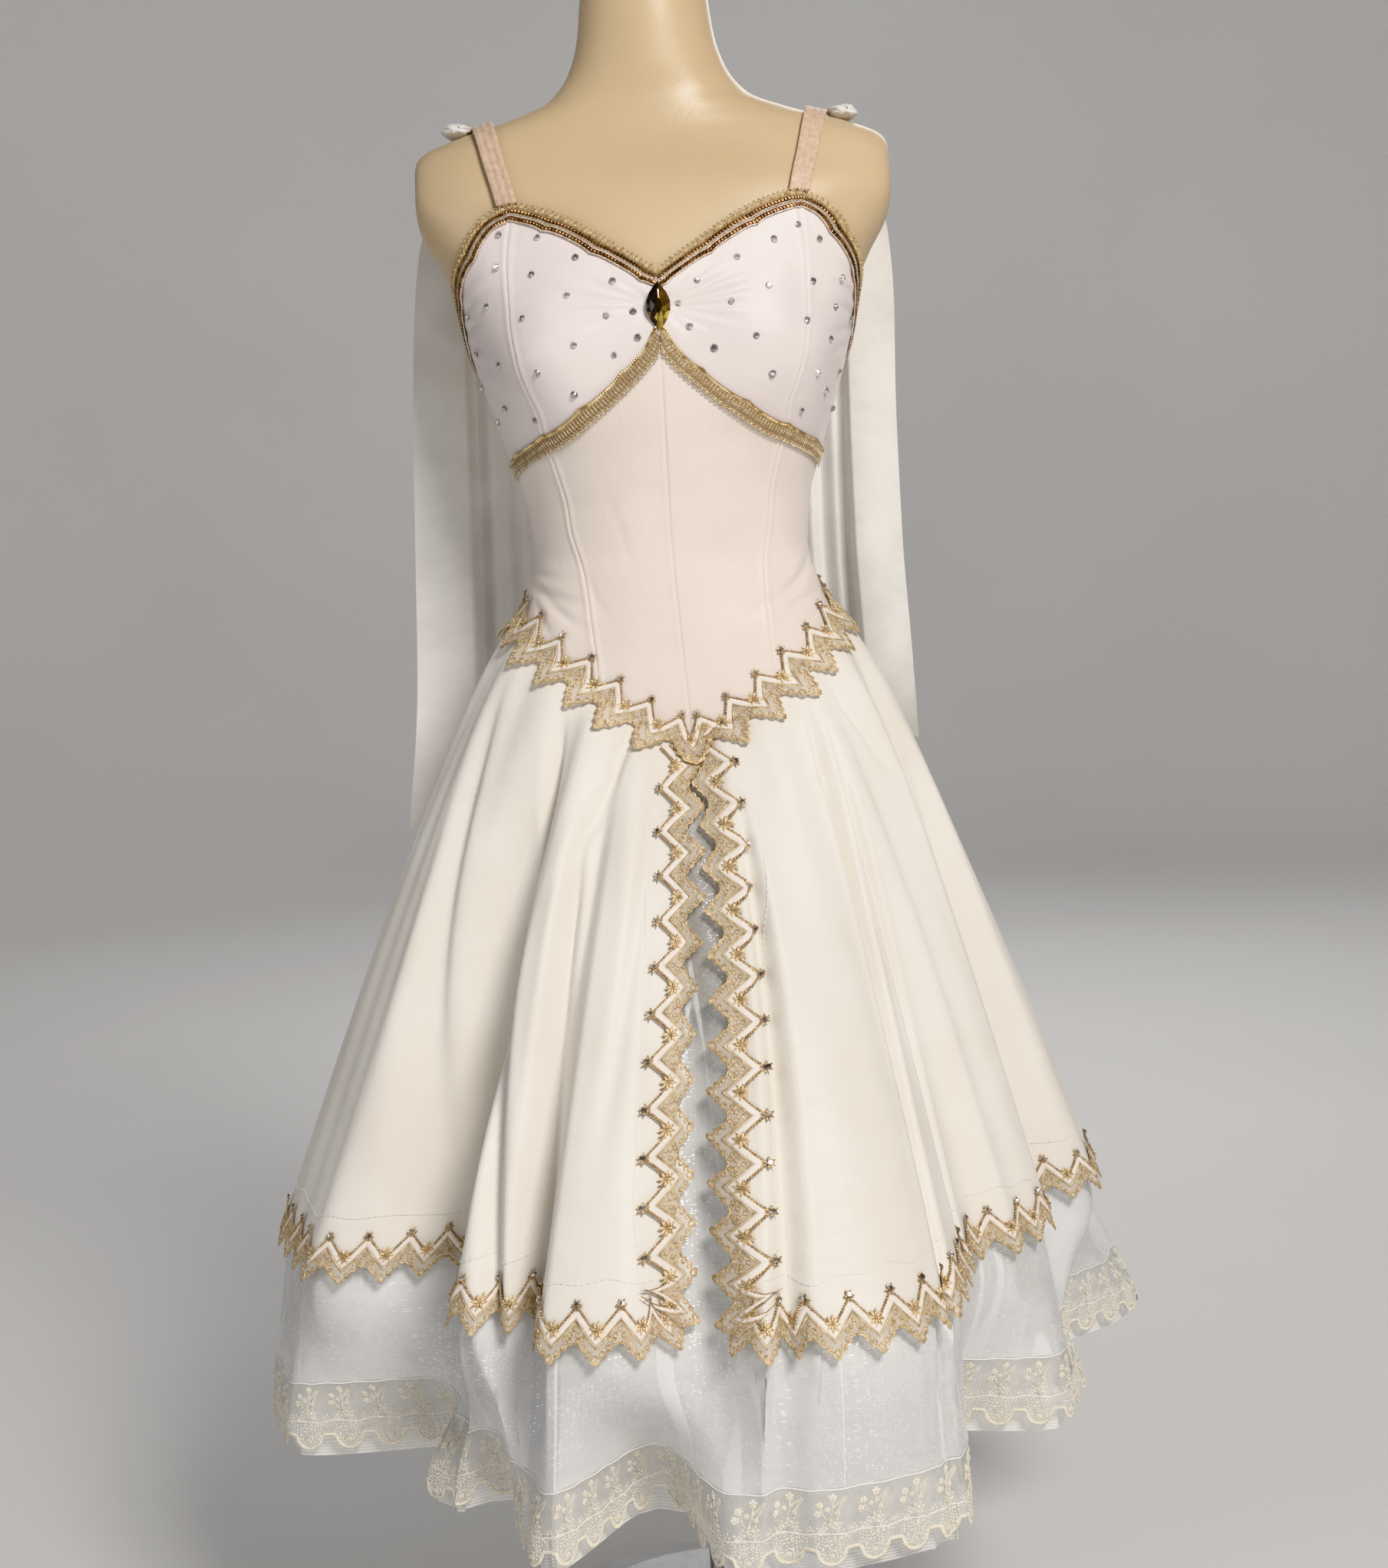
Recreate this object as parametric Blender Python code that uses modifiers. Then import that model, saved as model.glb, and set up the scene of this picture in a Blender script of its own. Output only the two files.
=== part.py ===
"""A knee-length ballet dress on a limbless dress form, in metres, +Z up, standing on z = 0.

The front faces -Y. An azimuth is in degrees about the vertical axis: 0 at the front, positive
towards +X, 180 at the centre back. Every cloth piece is a thin wall laid on one of two surfaces,
the torso or the skirt, which are worked out from the tables below.
"""

import math
from collections import namedtuple

import bmesh
import bpy
import numpy as np
from mathutils import Vector

# ---- driving dimensions ----
CLOTH_WALL = 0.0015  # satin with its lining
SKIRT_WALL = 0.0012
SHEER_WALL = 0.001
TRIM_WALL = 0.0012
SEAM_GAP = 0.0009
BORDER_GAP = 0.0012
FORM_INSET = 0.0008
BODICE_EASE = 0.004  # from the form's surface to the satin's outer face
TRIM_EASE = 0.0064  # from the form's surface to a trim's inner face
LACE_LIFT = 0.0022  # from a skirt panel's outer face to the lace on it

SHOULDER_HALF = 0.200  # the arm openings are cut off flat at this half-width
BUST_HEIGHT = 1.140
BUST_RISE = 0.048
BUST_AZIMUTH = 44.0
BUST_SPREAD = 19.0
BUST_DEPTH = 0.016

BASE_RADIUS = 0.175
BASE_HEIGHT = 0.018
POLE_RADIUS = 0.0125
REST_GAP = 0.0003

GIMP_WIDTH = 0.0155
GIMP_DROP = 0.002  # its middle lies this far under the line it follows
MITRE = 0.2
LACE_PEAK = 0.021  # from the lace's middle line to a peak
LACE_NOTCH = 0.005
LACE_TIP = 0.019
LACE_DIP = 0.010
STRAP_WIDTH = 0.0175
STRAP_WALL = 0.0016

LEAN_TOP = 1.00  # below this the bodice's seams swing towards +X
LEAN_BOTTOM = 0.85
LEAN_ANGLE = 4.5

SATIN_TIPS = 0.408  # height of the hem lace's tips
SATIN_EDGE = 0.424
TULLE_TIPS = 0.253
BORDER_TOP = 0.313
SCALLOP_DEPTH = 0.008
NET_EDGE = 0.245
MEAN_RADIUS = 0.335
FLARE_POWER = 0.78
FOLD_POWER = 1.15
SETTLE = 0.03
BLEND_TOP = 0.404  # above it the tulle follows the satin, below it has folds of its own
FACET_TURN = 2.0  # degrees either side of a point, for the slope of a skirt's facet there
GATHERS = 22
GATHER_DEPTH = 0.0035
GATHER_PLACE = 0.12
SHEER_DROP = 0.022  # the tulle starts this far under the basque seam
NET_DROP = 0.040
LAYER_GAP = 0.0022
LAYER_SPREAD = 0.006
LAYER_REACH = 0.40
TOOTH_PITCH = 0.033
HEM_SAMPLES = 240
SATIN_SHARES = (0.25, 0.6, 1.0)
SATIN_RUNGS = (0, 1, 2, 3, 4, 5)
TULLE_RUNGS = (1, 2, 3, 4, 6, 7)
NET_RUNGS = (2, 3, 4, 6, 7, 8)
BASQUE_TEETH = 26
EDGE_TEETH = 11
OUTLINE_COLUMNS = 7
EDGE_LACE_LIFT = 0.0040
BASQUE_TIP_LIFT = 0.0056
SPLIT_TOP = 0.803
SPLIT_CLOSING = 0.022  # the satin closes under the lace over this much below the split's top
SPLIT_STRAIGHT = 0.5
SPLIT_HALF_TOP = 0.0022
SPLIT_HALF_HEM = 0.0065
LACE_OVERHANG = 0.014

Section = namedtuple("Section", "height half_width front back power")
TORSO = [
    Section(0.612, 0.156, 0.098, 0.106, 2.2),
    Section(0.700, 0.167, 0.103, 0.116, 2.2),
    Section(0.780, 0.170, 0.105, 0.120, 2.2),
    Section(0.850, 0.162, 0.103, 0.111, 2.2),
    Section(0.910, 0.1400, 0.097, 0.093, 2.2),
    Section(0.950, 0.1210, 0.090, 0.082, 2.15),
    Section(0.985, 0.1130, 0.085, 0.076, 2.1),
    Section(1.020, 0.1160, 0.087, 0.079, 2.1),
    Section(1.060, 0.1270, 0.096, 0.086, 2.15),
    Section(1.100, 0.1405, 0.107, 0.093, 2.2),
    Section(1.145, 0.1540, 0.113, 0.099, 2.25),
    Section(1.190, 0.1660, 0.109, 0.103, 2.3),
    Section(1.225, 0.1815, 0.100, 0.103, 2.3),
    Section(1.250, 0.1965, 0.091, 0.099, 2.3),
    Section(1.280, 0.2110, 0.078, 0.090, 2.3),
    Section(1.305, 0.2080, 0.063, 0.077, 2.2),
    Section(1.320, 0.1960, 0.056, 0.068, 2.1),
    Section(1.333, 0.1660, 0.052, 0.060, 2.0),
    Section(1.345, 0.1230, 0.050, 0.055, 2.0),
    Section(1.360, 0.0850, 0.049, 0.052, 2.0),
    Section(1.384, 0.0660, 0.050, 0.050, 2.0),
    Section(1.410, 0.0580, 0.050, 0.049, 2.0),
    Section(1.448, 0.0530, 0.048, 0.048, 2.0),
    Section(1.460, 0.0490, 0.044, 0.044, 2.0),
    Section(1.466, 0.0400, 0.036, 0.036, 2.0),
]
TORSO_SIDES = 32

LinePoint = namedtuple("LinePoint", "azimuth height")
NECKLINE = [  # the satin's top edge, the same on both sides
    LinePoint(0, 1.203),
    LinePoint(13, 1.218),
    LinePoint(26, 1.233),
    LinePoint(42, 1.251),
    LinePoint(52, 1.260),
    LinePoint(57, 1.2635),
    LinePoint(62, 1.2565),
    LinePoint(67.5, 1.235),
    LinePoint(76, 1.206),
    LinePoint(84, 1.172),
    LinePoint(92, 1.150),
    LinePoint(105, 1.128),
    LinePoint(130, 1.112),
    LinePoint(180, 1.100),
]
UNDERBUST = [
    LinePoint(0, 1.158),
    LinePoint(6, 1.141),
    LinePoint(17, 1.1205),
    LinePoint(29, 1.102),
    LinePoint(44, 1.084),
    LinePoint(56, 1.0755),
    LinePoint(78, 1.062),
    LinePoint(92, 1.056),
]
BASQUE = [  # where the skirts are sewn on
    LinePoint(0, 0.826),
    LinePoint(14.7, 0.839),
    LinePoint(27.5, 0.855),
    LinePoint(39, 0.871),
    LinePoint(49, 0.887),
    LinePoint(59.5, 0.901),
    LinePoint(73, 0.919),
    LinePoint(90, 0.931),
    LinePoint(130, 0.925),
    LinePoint(180, 0.905),
]
PRINCESS_SEAM = [
    LinePoint(36.0, 0.820),
    LinePoint(39.0, 0.900),
    LinePoint(43.7, 0.948),
    LinePoint(51.8, 1.010),
    LinePoint(51.2, 1.075),
    LinePoint(48.3, 1.105),
    LinePoint(49.0, 1.140),
    LinePoint(53.0, 1.180),
    LinePoint(55.6, 1.220),
    LinePoint(56.5, 1.265),
]

Fold = namedtuple("Fold", "crest spread crest_radius valley valley_radius")
SATIN_FOLDS = [  # at the hem lace's tips; each valley follows its crest
    Fold(-146, 8, 0.372, -129, 0.290),
    Fold(-112, 7, 0.362, -94, 0.300),
    Fold(-72, 9, 0.372, -43, 0.215),
    Fold(-29.5, 3, 0.363, -22.5, 0.340),
    Fold(-14, 4, 0.402, -1, 0.362),
    Fold(13, 7, 0.414, 47, 0.300),
    Fold(58, 5, 0.320, 73, 0.272),
    Fold(91, 6, 0.350, 103, 0.322),
    Fold(114, 6, 0.368, 130, 0.290),
    Fold(146, 8, 0.372, 163, 0.298),
    Fold(180, 8, 0.372, 197, 0.298),
]
TULLE_FOLDS = [  # at the tulle's scalloped hem
    Fold(-146, 8, 0.385, -129, 0.300),
    Fold(-112, 7, 0.378, -95, 0.305),
    Fold(-74, 5, 0.390, -55, 0.262),
    Fold(-40, 3.5, 0.342, -32.5, 0.304),
    Fold(-19, 2, 0.408, -8.5, 0.292),
    Fold(13, 12, 0.414, 46, 0.250),
    Fold(66, 6, 0.336, 87, 0.290),
    Fold(112, 7, 0.420, 129, 0.305),
    Fold(146, 8, 0.388, 163, 0.305),
    Fold(180, 8, 0.385, 197, 0.300),
]

DrapeRow = namedtuple("DrapeRow", "height outer_left outer_right outer_y inner_x inner_y wave")
DRAPE = [  # from the hem up; the inner edge and the depths are the same on both sides
    DrapeRow(0.735, 0.256, 0.2185, 0.130, 0.112, 0.216, 0.011),
    DrapeRow(0.860, 0.240, 0.2155, 0.124, 0.104, 0.164, 0.011),
    DrapeRow(0.985, 0.233, 0.2095, 0.118, 0.098, 0.136, 0.010),
    DrapeRow(1.100, 0.227, 0.2080, 0.112, 0.100, 0.126, 0.008),
    DrapeRow(1.190, 0.220, 0.2095, 0.107, 0.105, 0.122, 0.006),
    DrapeRow(1.250, 0.211, 0.2060, 0.099, 0.111, 0.113, 0.004),
    DrapeRow(1.292, 0.195, 0.1930, 0.083, 0.118, 0.094, 0.003),
    DrapeRow(1.320, 0.179, 0.1780, 0.059, 0.128, 0.068, 0.002),
    DrapeRow(1.338, 0.167, 0.1670, 0.029, 0.153, 0.034, 0.001),
    DrapeRow(1.343, 0.163, 0.1630, 0.000, 0.1555, 0.002, 0.0),
]
DRAPE_WAVES = 3.5
HEM_RISE_RIGHT = 0.062  # the +X drape is cut shorter

StrapStop = namedtuple("StrapStop", "turn x")
STRAP = [  # turn: degrees about the shoulder, 0 straight up, negative to the front
    StrapStop(-91.5, 0.119),
    StrapStop(-50, 0.131),
    StrapStop(0, 0.141),
    StrapStop(60, 0.138),
    StrapStop(145, 0.113),
]
SHOULDER_CENTRE = 1.270
STRAP_STEPS = 13
STRAP_EASE = 0.003

GEM_HEIGHT = 0.038
GEM_WIDTH = 0.020
GEM_DEPTH = 0.006
GEM_PLACE = 1.1785
GEM_EASE = 0.0072
GEM_SIDES = 12

Finish = namedtuple("Finish", "colour roughness metallic")
FINISHES = {
    "form": Finish((0.72, 0.55, 0.36), 0.35, 0.0),
    "stand": Finish((0.55, 0.55, 0.56), 0.30, 1.0),
    "bodice": Finish((0.86, 0.78, 0.74), 0.40, 0.0),
    "cup": Finish((0.84, 0.79, 0.80), 0.35, 0.0),
    "skirt": Finish((0.88, 0.85, 0.78), 0.50, 0.0),
    "tulle": Finish((0.85, 0.85, 0.85), 0.60, 0.0),
    "border": Finish((0.80, 0.76, 0.66), 0.60, 0.0),
    "lace": Finish((0.72, 0.58, 0.36), 0.45, 0.3),
    "gimp": Finish((0.66, 0.48, 0.20), 0.35, 0.6),
    "strap": Finish((0.86, 0.66, 0.58), 0.60, 0.0),
    "chiffon": Finish((0.80, 0.80, 0.77), 0.60, 0.0),
    "gem": Finish((0.45, 0.32, 0.06), 0.10, 0.4),
}


# ---- smooth curves through the tables ----
def smooth_value(stations, values, place):
    """A smooth curve through a table's rows that never overshoots them."""
    steps = np.diff(stations)
    rises = np.diff(values) / steps
    slopes = np.empty(len(values))
    slopes[0] = rises[0]
    slopes[-1] = rises[-1]
    for i in range(1, len(values) - 1):
        before, after = rises[i - 1], rises[i]
        slopes[i] = 0 if before * after <= 0 else 2 * before * after / (before + after)
    place = min(max(place, stations[0]), stations[-1])
    i = min(int(np.searchsorted(stations, place, side="right")) - 1, len(steps) - 1)
    part = (place - stations[i]) / steps[i]
    flat = part * part * (3 - 2 * part)
    lead = part * (1 - part) ** 2 * slopes[i]
    trail = part * part * (part - 1) * slopes[i + 1]
    return float(values[i] + (values[i + 1] - values[i]) * flat + steps[i] * (lead + trail))


def column(rows, name):
    return np.array([getattr(row, name) for row in rows], float)


def line_height(line, azimuth):
    """A line's height at an azimuth; the lines are the same on both sides."""
    return smooth_value(column(line, "azimuth"), column(line, "height"), abs(wrapped(azimuth)))


def wrapped(azimuth):
    return (azimuth + 180) % 360 - 180


def eased(part):
    part = min(max(part, 0.0), 1.0)
    return part * part * (3 - 2 * part)


def lean(height):
    """How far the bodice's seams have swung round at this height, in degrees."""
    return LEAN_ANGLE * min(max((LEAN_TOP - height) / (LEAN_TOP - LEAN_BOTTOM), 0.0), 1.0)


# ---- the two surfaces ----
HEIGHTS = column(TORSO, "height")
MEASURES = {name: column(TORSO, name) for name in Section._fields[1:]}


def bust(azimuth, height):
    across = (abs(wrapped(azimuth)) - BUST_AZIMUTH) / BUST_SPREAD
    upward = (height - BUST_HEIGHT) / BUST_RISE
    return BUST_DEPTH * math.exp(-across * across - upward * upward)


def torso_radius(azimuth, height):
    half_width, front, back, power = (
        smooth_value(HEIGHTS, MEASURES[name], height) for name in Section._fields[1:]
    )
    sideways = abs(math.sin(math.radians(azimuth)))
    forward = math.cos(math.radians(azimuth))
    depth = front if forward >= 0 else back
    spans = (sideways / half_width) ** power + (abs(forward) / depth) ** power
    radius = spans ** (-1 / power) + bust(azimuth, height)
    return min(radius, SHOULDER_HALF / max(sideways, 1e-6))


def at_polar(azimuth, radius, height):
    turn = math.radians(azimuth)
    return Vector((radius * math.sin(turn), -radius * math.cos(turn), height))


def torso_point(azimuth, height):
    return at_polar(azimuth, torso_radius(azimuth, height), height)


def fold_radius(folds, azimuth):
    """The hem's radius: round crests with narrower valleys between them."""
    azimuth = (azimuth - folds[0].crest) % 360 + folds[0].crest
    for this, following in zip(folds, folds[1:] + [first_fold_again(folds)]):
        if azimuth <= this.crest + this.spread:
            return this.crest_radius
        if azimuth <= this.valley:
            start = this.crest + this.spread
            share = eased((azimuth - start) / (this.valley - start))
            return this.crest_radius + (this.valley_radius - this.crest_radius) * share
        end = following.crest - following.spread
        if azimuth <= end:
            share = eased((azimuth - this.valley) / (end - this.valley))
            return this.valley_radius + (following.crest_radius - this.valley_radius) * share
    return folds[0].crest_radius


def first_fold_again(folds):
    first = folds[0]
    return first._replace(crest=first.crest + 360, valley=first.valley + 360)


def basque_height(azimuth):
    return line_height(BASQUE, azimuth - LEAN_ANGLE * eased(2 - abs(wrapped(azimuth)) / 90))


def flare(drop):
    if drop <= 1:
        return drop**FLARE_POWER
    return 1 + SETTLE * (1 - math.exp(-(drop - 1) * FLARE_POWER / SETTLE))


def gathers(azimuth, drop):
    reach = drop / GATHER_PLACE
    turn = math.radians(azimuth)
    wave = math.cos(GATHERS * turn + 0.9 * math.sin(3 * turn))
    return GATHER_DEPTH * reach * math.exp(1 - reach) * wave


def skirt_point(azimuth, height):
    """The satin skirt's outer face, carried on below its hem for the tulle."""
    seam = basque_height(azimuth)
    start = torso_radius(azimuth, seam) + BODICE_EASE
    drop = max((seam - height) / (seam - SATIN_TIPS), 0.0)
    lower = eased((BLEND_TOP - height) / (BLEND_TOP - TULLE_TIPS))
    satin = fold_radius(SATIN_FOLDS, azimuth)
    hem = satin + (fold_radius(TULLE_FOLDS, azimuth) - satin) * lower
    radius = start + (MEAN_RADIUS - start) * flare(drop)
    radius += (hem - MEAN_RADIUS) * min(drop, 1.0) ** FOLD_POWER
    return at_polar(azimuth, radius + gathers(azimuth, drop), height)


def moved_out(surface, azimuth, height, distance, turn=0.2):
    """A point of a surface, moved out square to the surface round it."""
    rise = 0.0008
    across = surface(azimuth + turn, height) - surface(azimuth - turn, height)
    upward = surface(azimuth, height + rise) - surface(azimuth, height - rise)
    return surface(azimuth, height) + across.cross(upward).normalized() * distance


def on_torso(distance):
    return lambda azimuth, height: moved_out(torso_point, azimuth, height, distance)


def on_skirt(distance):
    return lambda azimuth, height: moved_out(skirt_point, azimuth, height, distance, FACET_TURN)


# ---- objects ----
def clear_scene():
    for old in list(bpy.data.objects):
        bpy.data.objects.remove(old, do_unlink=True)


def make_materials():
    made = {}
    for name, finish in FINISHES.items():
        material = bpy.data.materials.new(name)
        material.use_nodes = True
        shader = material.node_tree.nodes["Principled BSDF"]
        shader.inputs["Base Color"].default_value = (*finish.colour, 1)
        shader.inputs["Roughness"].default_value = finish.roughness
        shader.inputs["Metallic"].default_value = finish.metallic
        made[name] = material
    return made


def add_object(name, shape, finish, smooth=True):
    mesh = bpy.data.meshes.new(name)
    shape.to_mesh(mesh)
    shape.free()
    mesh.materials.append(MATERIALS[finish])
    if smooth:
        mesh.shade_smooth()
    made = bpy.data.objects.new(name, mesh)
    COLLECTION.objects.link(made)
    return made


def add_wall(made, thickness, side=-1.0):
    """Thickens an open surface; side -1 keeps its points on the outer face, 1 on the inner."""
    wall = made.modifiers.new("wall", "SOLIDIFY")
    wall.thickness = thickness
    wall.offset = side
    return made


def cloth_grid(name, columns, rows, place, finish):
    """An open sheet of columns by rows; place(across, up) gives its points from 0 to 1."""
    shape = bmesh.new()
    bmesh.ops.create_grid(shape, x_segments=columns, y_segments=rows, size=0.5)
    bmesh.ops.triangulate(shape, faces=shape.faces, quad_method="FIXED")
    for vertex in shape.verts:
        vertex.co = place(vertex.co.x + 0.5, vertex.co.y + 0.5)
    return add_object(name, shape, finish)


def panel(name, sides, ends, surface, grid, finish, wall=CLOTH_WALL):
    """A cut piece between two seams (azimuths at a height) and two lines (heights at an azimuth)."""
    left, right = sides
    lower, upper = ends

    def place(across, up):
        azimuth = (left(1.0) + right(1.0)) / 2
        for _ in range(5):
            low = lower(azimuth) + half_gap(lower, azimuth)
            high = upper(azimuth) - half_gap(upper, azimuth)
            height = low + (high - low) * up
            inset = math.degrees(SEAM_GAP / 2 / torso_radius(azimuth, height))
            start = left(height) + inset
            azimuth = start + (right(height) - inset - start) * across
        return surface(azimuth, height)

    return add_wall(cloth_grid(name, *grid, place, finish), wall)


def half_gap(line, azimuth):
    """Half a seam gap, square to a line, as a height."""
    rise = line(azimuth + 0.5) - line(azimuth - 0.5)
    run = math.radians(1) * torso_radius(azimuth, line(azimuth))
    return SEAM_GAP / 2 * math.hypot(rise, run) / run


def beside_line(line, azimuth, distance, surface_radius):
    """The azimuth and height a distance off a line, square to it along the cloth."""
    step = 0.5
    rise = line(azimuth + step) - line(azimuth - step)
    run = math.radians(2 * step) * surface_radius(azimuth, line(azimuth))
    length = math.hypot(rise, run)
    turn = -rise / length * distance / surface_radius(azimuth, line(azimuth))
    return azimuth + math.degrees(turn), line(azimuth) + run / length * distance


def mirrored(side, low, high):
    """The two azimuths of a stretch, in rising order, on the -X (-1) or +X (1) side."""
    return (low, high) if side > 0 else (-high, -low)


SIDES = {"left": -1, "right": 1}  # as the viewer in front sees them


# ---- the dress form ----
def evened(turn, section):
    """Spreads a ring's points evenly round a section that is wider than it is deep."""
    turn = math.radians(turn)
    depth = section.front if math.cos(turn) >= 0 else section.back
    return math.degrees(math.atan2(section.half_width * math.sin(turn), depth * math.cos(turn)))


def torso_form():
    shape = bmesh.new()
    rings = []
    for section in TORSO:
        ring = []
        for step in range(TORSO_SIDES):
            azimuth = evened(360 * step / TORSO_SIDES, section)
            radius = torso_radius(azimuth, section.height) - FORM_INSET
            ring.append(shape.verts.new(at_polar(azimuth, radius, section.height)))
        rings.append(ring)
    for lower, upper in zip(rings, rings[1:]):
        for step in range(TORSO_SIDES):
            after = (step + 1) % TORSO_SIDES
            shape.faces.new((lower[step], lower[after], upper[after], upper[step]))
    shape.faces.new(list(reversed(rings[0])))
    shape.faces.new(rings[-1])
    bmesh.ops.triangulate(shape, faces=shape.faces)
    bmesh.ops.recalc_face_normals(shape, faces=shape.faces)
    add_object("form_torso", shape, "form")


def turned(name, profile, finish, steps):
    """A turned piece: its profile runs down the outer side from the axis to the axis."""
    mesh = bpy.data.meshes.new(name)
    points = [(radius, 0, height) for radius, height in profile]
    mesh.from_pydata(points, [(i, i + 1) for i in range(len(points) - 1)], [])
    mesh.materials.append(MATERIALS[finish])
    made = bpy.data.objects.new(name, mesh)
    COLLECTION.objects.link(made)
    screw = made.modifiers.new("turn", "SCREW")
    screw.steps = steps
    screw.render_steps = steps
    screw.use_merge_vertices = True
    screw.merge_threshold = 0.0001


def stand():
    top = BASE_HEIGHT
    rim = 0.006
    turned(
        "form_base",
        [(0, top), (0.03, top), (BASE_RADIUS - 0.03, top - 0.004), (BASE_RADIUS - 0.004, top - 0.008)]
        + [(BASE_RADIUS, rim), (BASE_RADIUS, 0.001), (BASE_RADIUS - 0.001, 0), (0, 0)],
        "stand",
        32,
    )
    low = BASE_HEIGHT + REST_GAP
    high = TORSO[0].height - REST_GAP
    turned("form_pole", [(0, high), (POLE_RADIUS, high), (POLE_RADIUS, low), (0, low)], "stand", 16)


# ---- the bodice ----
def princess(side):
    heights, azimuths = column(PRINCESS_SEAM, "height"), column(PRINCESS_SEAM, "azimuth")
    return lambda height: side * smooth_value(heights, azimuths, height) + lean(height)


def neckline(azimuth):
    return line_height(NECKLINE, azimuth)


def underbust(azimuth):
    return line_height(UNDERBUST, azimuth)


def constant(value):
    return lambda place: value


def ordered(side, inner, outer):
    return (inner, outer) if side > 0 else (outer, inner)


def bodice():
    skin = on_torso(BODICE_EASE)
    for name, side in SIDES.items():
        front = ordered(side, lean, princess(side))
        flank = ordered(side, princess(side), constant(side * 90.0))
        rear = ordered(side, constant(side * 90.0), constant(side * 180.0))
        panel(f"cup_{name}", front, (underbust, neckline), skin, (7, 6), "cup")
        panel(f"cup_side_{name}", flank, (underbust, neckline), skin, (5, 6), "cup")
        panel(f"bodice_front_{name}", front, (basque_height, underbust), skin, (7, 8), "bodice")
        panel(f"bodice_side_front_{name}", flank, (basque_height, underbust), skin, (5, 8), "bodice")
        panel(f"bodice_back_{name}", rear, (basque_height, neckline), skin, (9, 8), "bodice")


def gimp_trims():
    """Flat gimp along the neckline and under the bust."""
    skin = on_torso(TRIM_EASE)

    def along(line, start, end, side=0):
        def place(across, up):
            azimuth = start + (end - start) * across
            offset = (up - 0.5) * GIMP_WIDTH - GIMP_DROP
            azimuth, height = beside_line(line, azimuth, offset, torso_radius)
            if side:
                azimuth = side * max(side * azimuth, MITRE)
            return skin(azimuth, height)

        return place

    reach = 179.6
    add_wall(
        cloth_grid("neckline_trim", 64, 1, along(neckline, -reach, reach), "gimp"), TRIM_WALL, 1
    )
    for name, side in SIDES.items():
        start, end = mirrored(side, 2.0, 89.6)
        place = along(underbust, start, end, side)
        add_wall(cloth_grid(f"underbust_trim_{name}", 14, 1, place, "gimp"), TRIM_WALL, 1)


def gem():
    shape = bmesh.new()
    bmesh.ops.create_cone(
        shape, cap_ends=True, segments=GEM_SIDES, radius1=0.5, radius2=0.24, depth=GEM_DEPTH
    )
    for vertex in shape.verts:
        along = vertex.co.y * 2
        size = 1 if vertex.co.z < 0 else 0.48
        width = GEM_WIDTH * size * (1 - (along / size) ** 2) / 2
        side = 0 if abs(vertex.co.x) < 1e-4 else math.copysign(width, vertex.co.x)
        depth = vertex.co.z + GEM_DEPTH / 2
        vertex.co = Vector((side, -depth, along * GEM_HEIGHT / 2))
    bmesh.ops.remove_doubles(shape, verts=shape.verts, dist=1e-5)
    bmesh.ops.recalc_face_normals(shape, faces=shape.faces)
    made = add_object("gem", shape, "gem", smooth=False)
    made.location = (0, -(torso_radius(0, GEM_PLACE) + GEM_EASE), GEM_PLACE)


def shoulder_hit(x, turn):
    """Where a ray from inside the shoulder, square to X, leaves the form; a little further out."""
    dy, dz = math.sin(math.radians(turn)), math.cos(math.radians(turn))
    inside, outside = 0.0, 0.3
    for _ in range(30):
        middle = (inside + outside) / 2
        y, z = middle * dy, SHOULDER_CENTRE + middle * dz
        azimuth = math.degrees(math.atan2(x, -y))
        if z < TORSO[-1].height and math.hypot(x, y) < torso_radius(azimuth, z):
            inside = middle
        else:
            outside = middle
    return Vector((x, (inside + STRAP_EASE) * dy, SHOULDER_CENTRE + (inside + STRAP_EASE) * dz))


def straps():
    turns, places = column(STRAP, "turn"), column(STRAP, "x")
    for name, side in SIDES.items():

        def place(across, up, side=side):
            turn = turns[0] + (turns[-1] - turns[0]) * up
            middle = side * smooth_value(turns, places, turn)
            return shoulder_hit(middle + (across - 0.5) * STRAP_WIDTH, turn)

        made = cloth_grid(f"strap_{name}", 2, STRAP_STEPS, place, "strap")
        add_wall(made, STRAP_WALL, 1)


# ---- the skirts ----
def split_middle(height):
    return LEAN_ANGLE * eased((height - SPLIT_STRAIGHT) / (SPLIT_TOP - SPLIT_STRAIGHT))


def overhang(height):
    """How far the lace hangs past the satin's front edge, towards the split."""
    return LACE_OVERHANG * eased((SPLIT_TOP - height) / SPLIT_CLOSING)


def split_edge(side, height):
    """The azimuth of the satin's front edge."""
    share = eased((SPLIT_TOP - height) / (SPLIT_TOP - SATIN_TIPS))
    half = SPLIT_HALF_TOP + (SPLIT_HALF_HEM - SPLIT_HALF_TOP) * share + overhang(height)
    radius = skirt_point(0, min(height, SPLIT_TOP)).xy.length
    return split_middle(height) + side * math.degrees(half / radius)


def column_azimuth(hem_azimuth, height):
    """A column of the skirts keeps its share of the way from the split to the side seam."""
    if abs(wrapped(hem_azimuth)) >= 90:
        return hem_azimuth
    left, right = HEM_EDGES["left"], HEM_EDGES["right"]
    if left < hem_azimuth < right:
        share = (hem_azimuth - left) / (right - left)
        return split_edge(-1, height) + (split_edge(1, height) - split_edge(-1, height)) * share
    side = 1 if hem_azimuth >= right else -1
    hem_edge = right if side > 0 else left
    share = (hem_azimuth - hem_edge) / (side * 90 - hem_edge)
    edge = split_edge(side, height)
    return edge + (side * 90 - edge) * share


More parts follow.
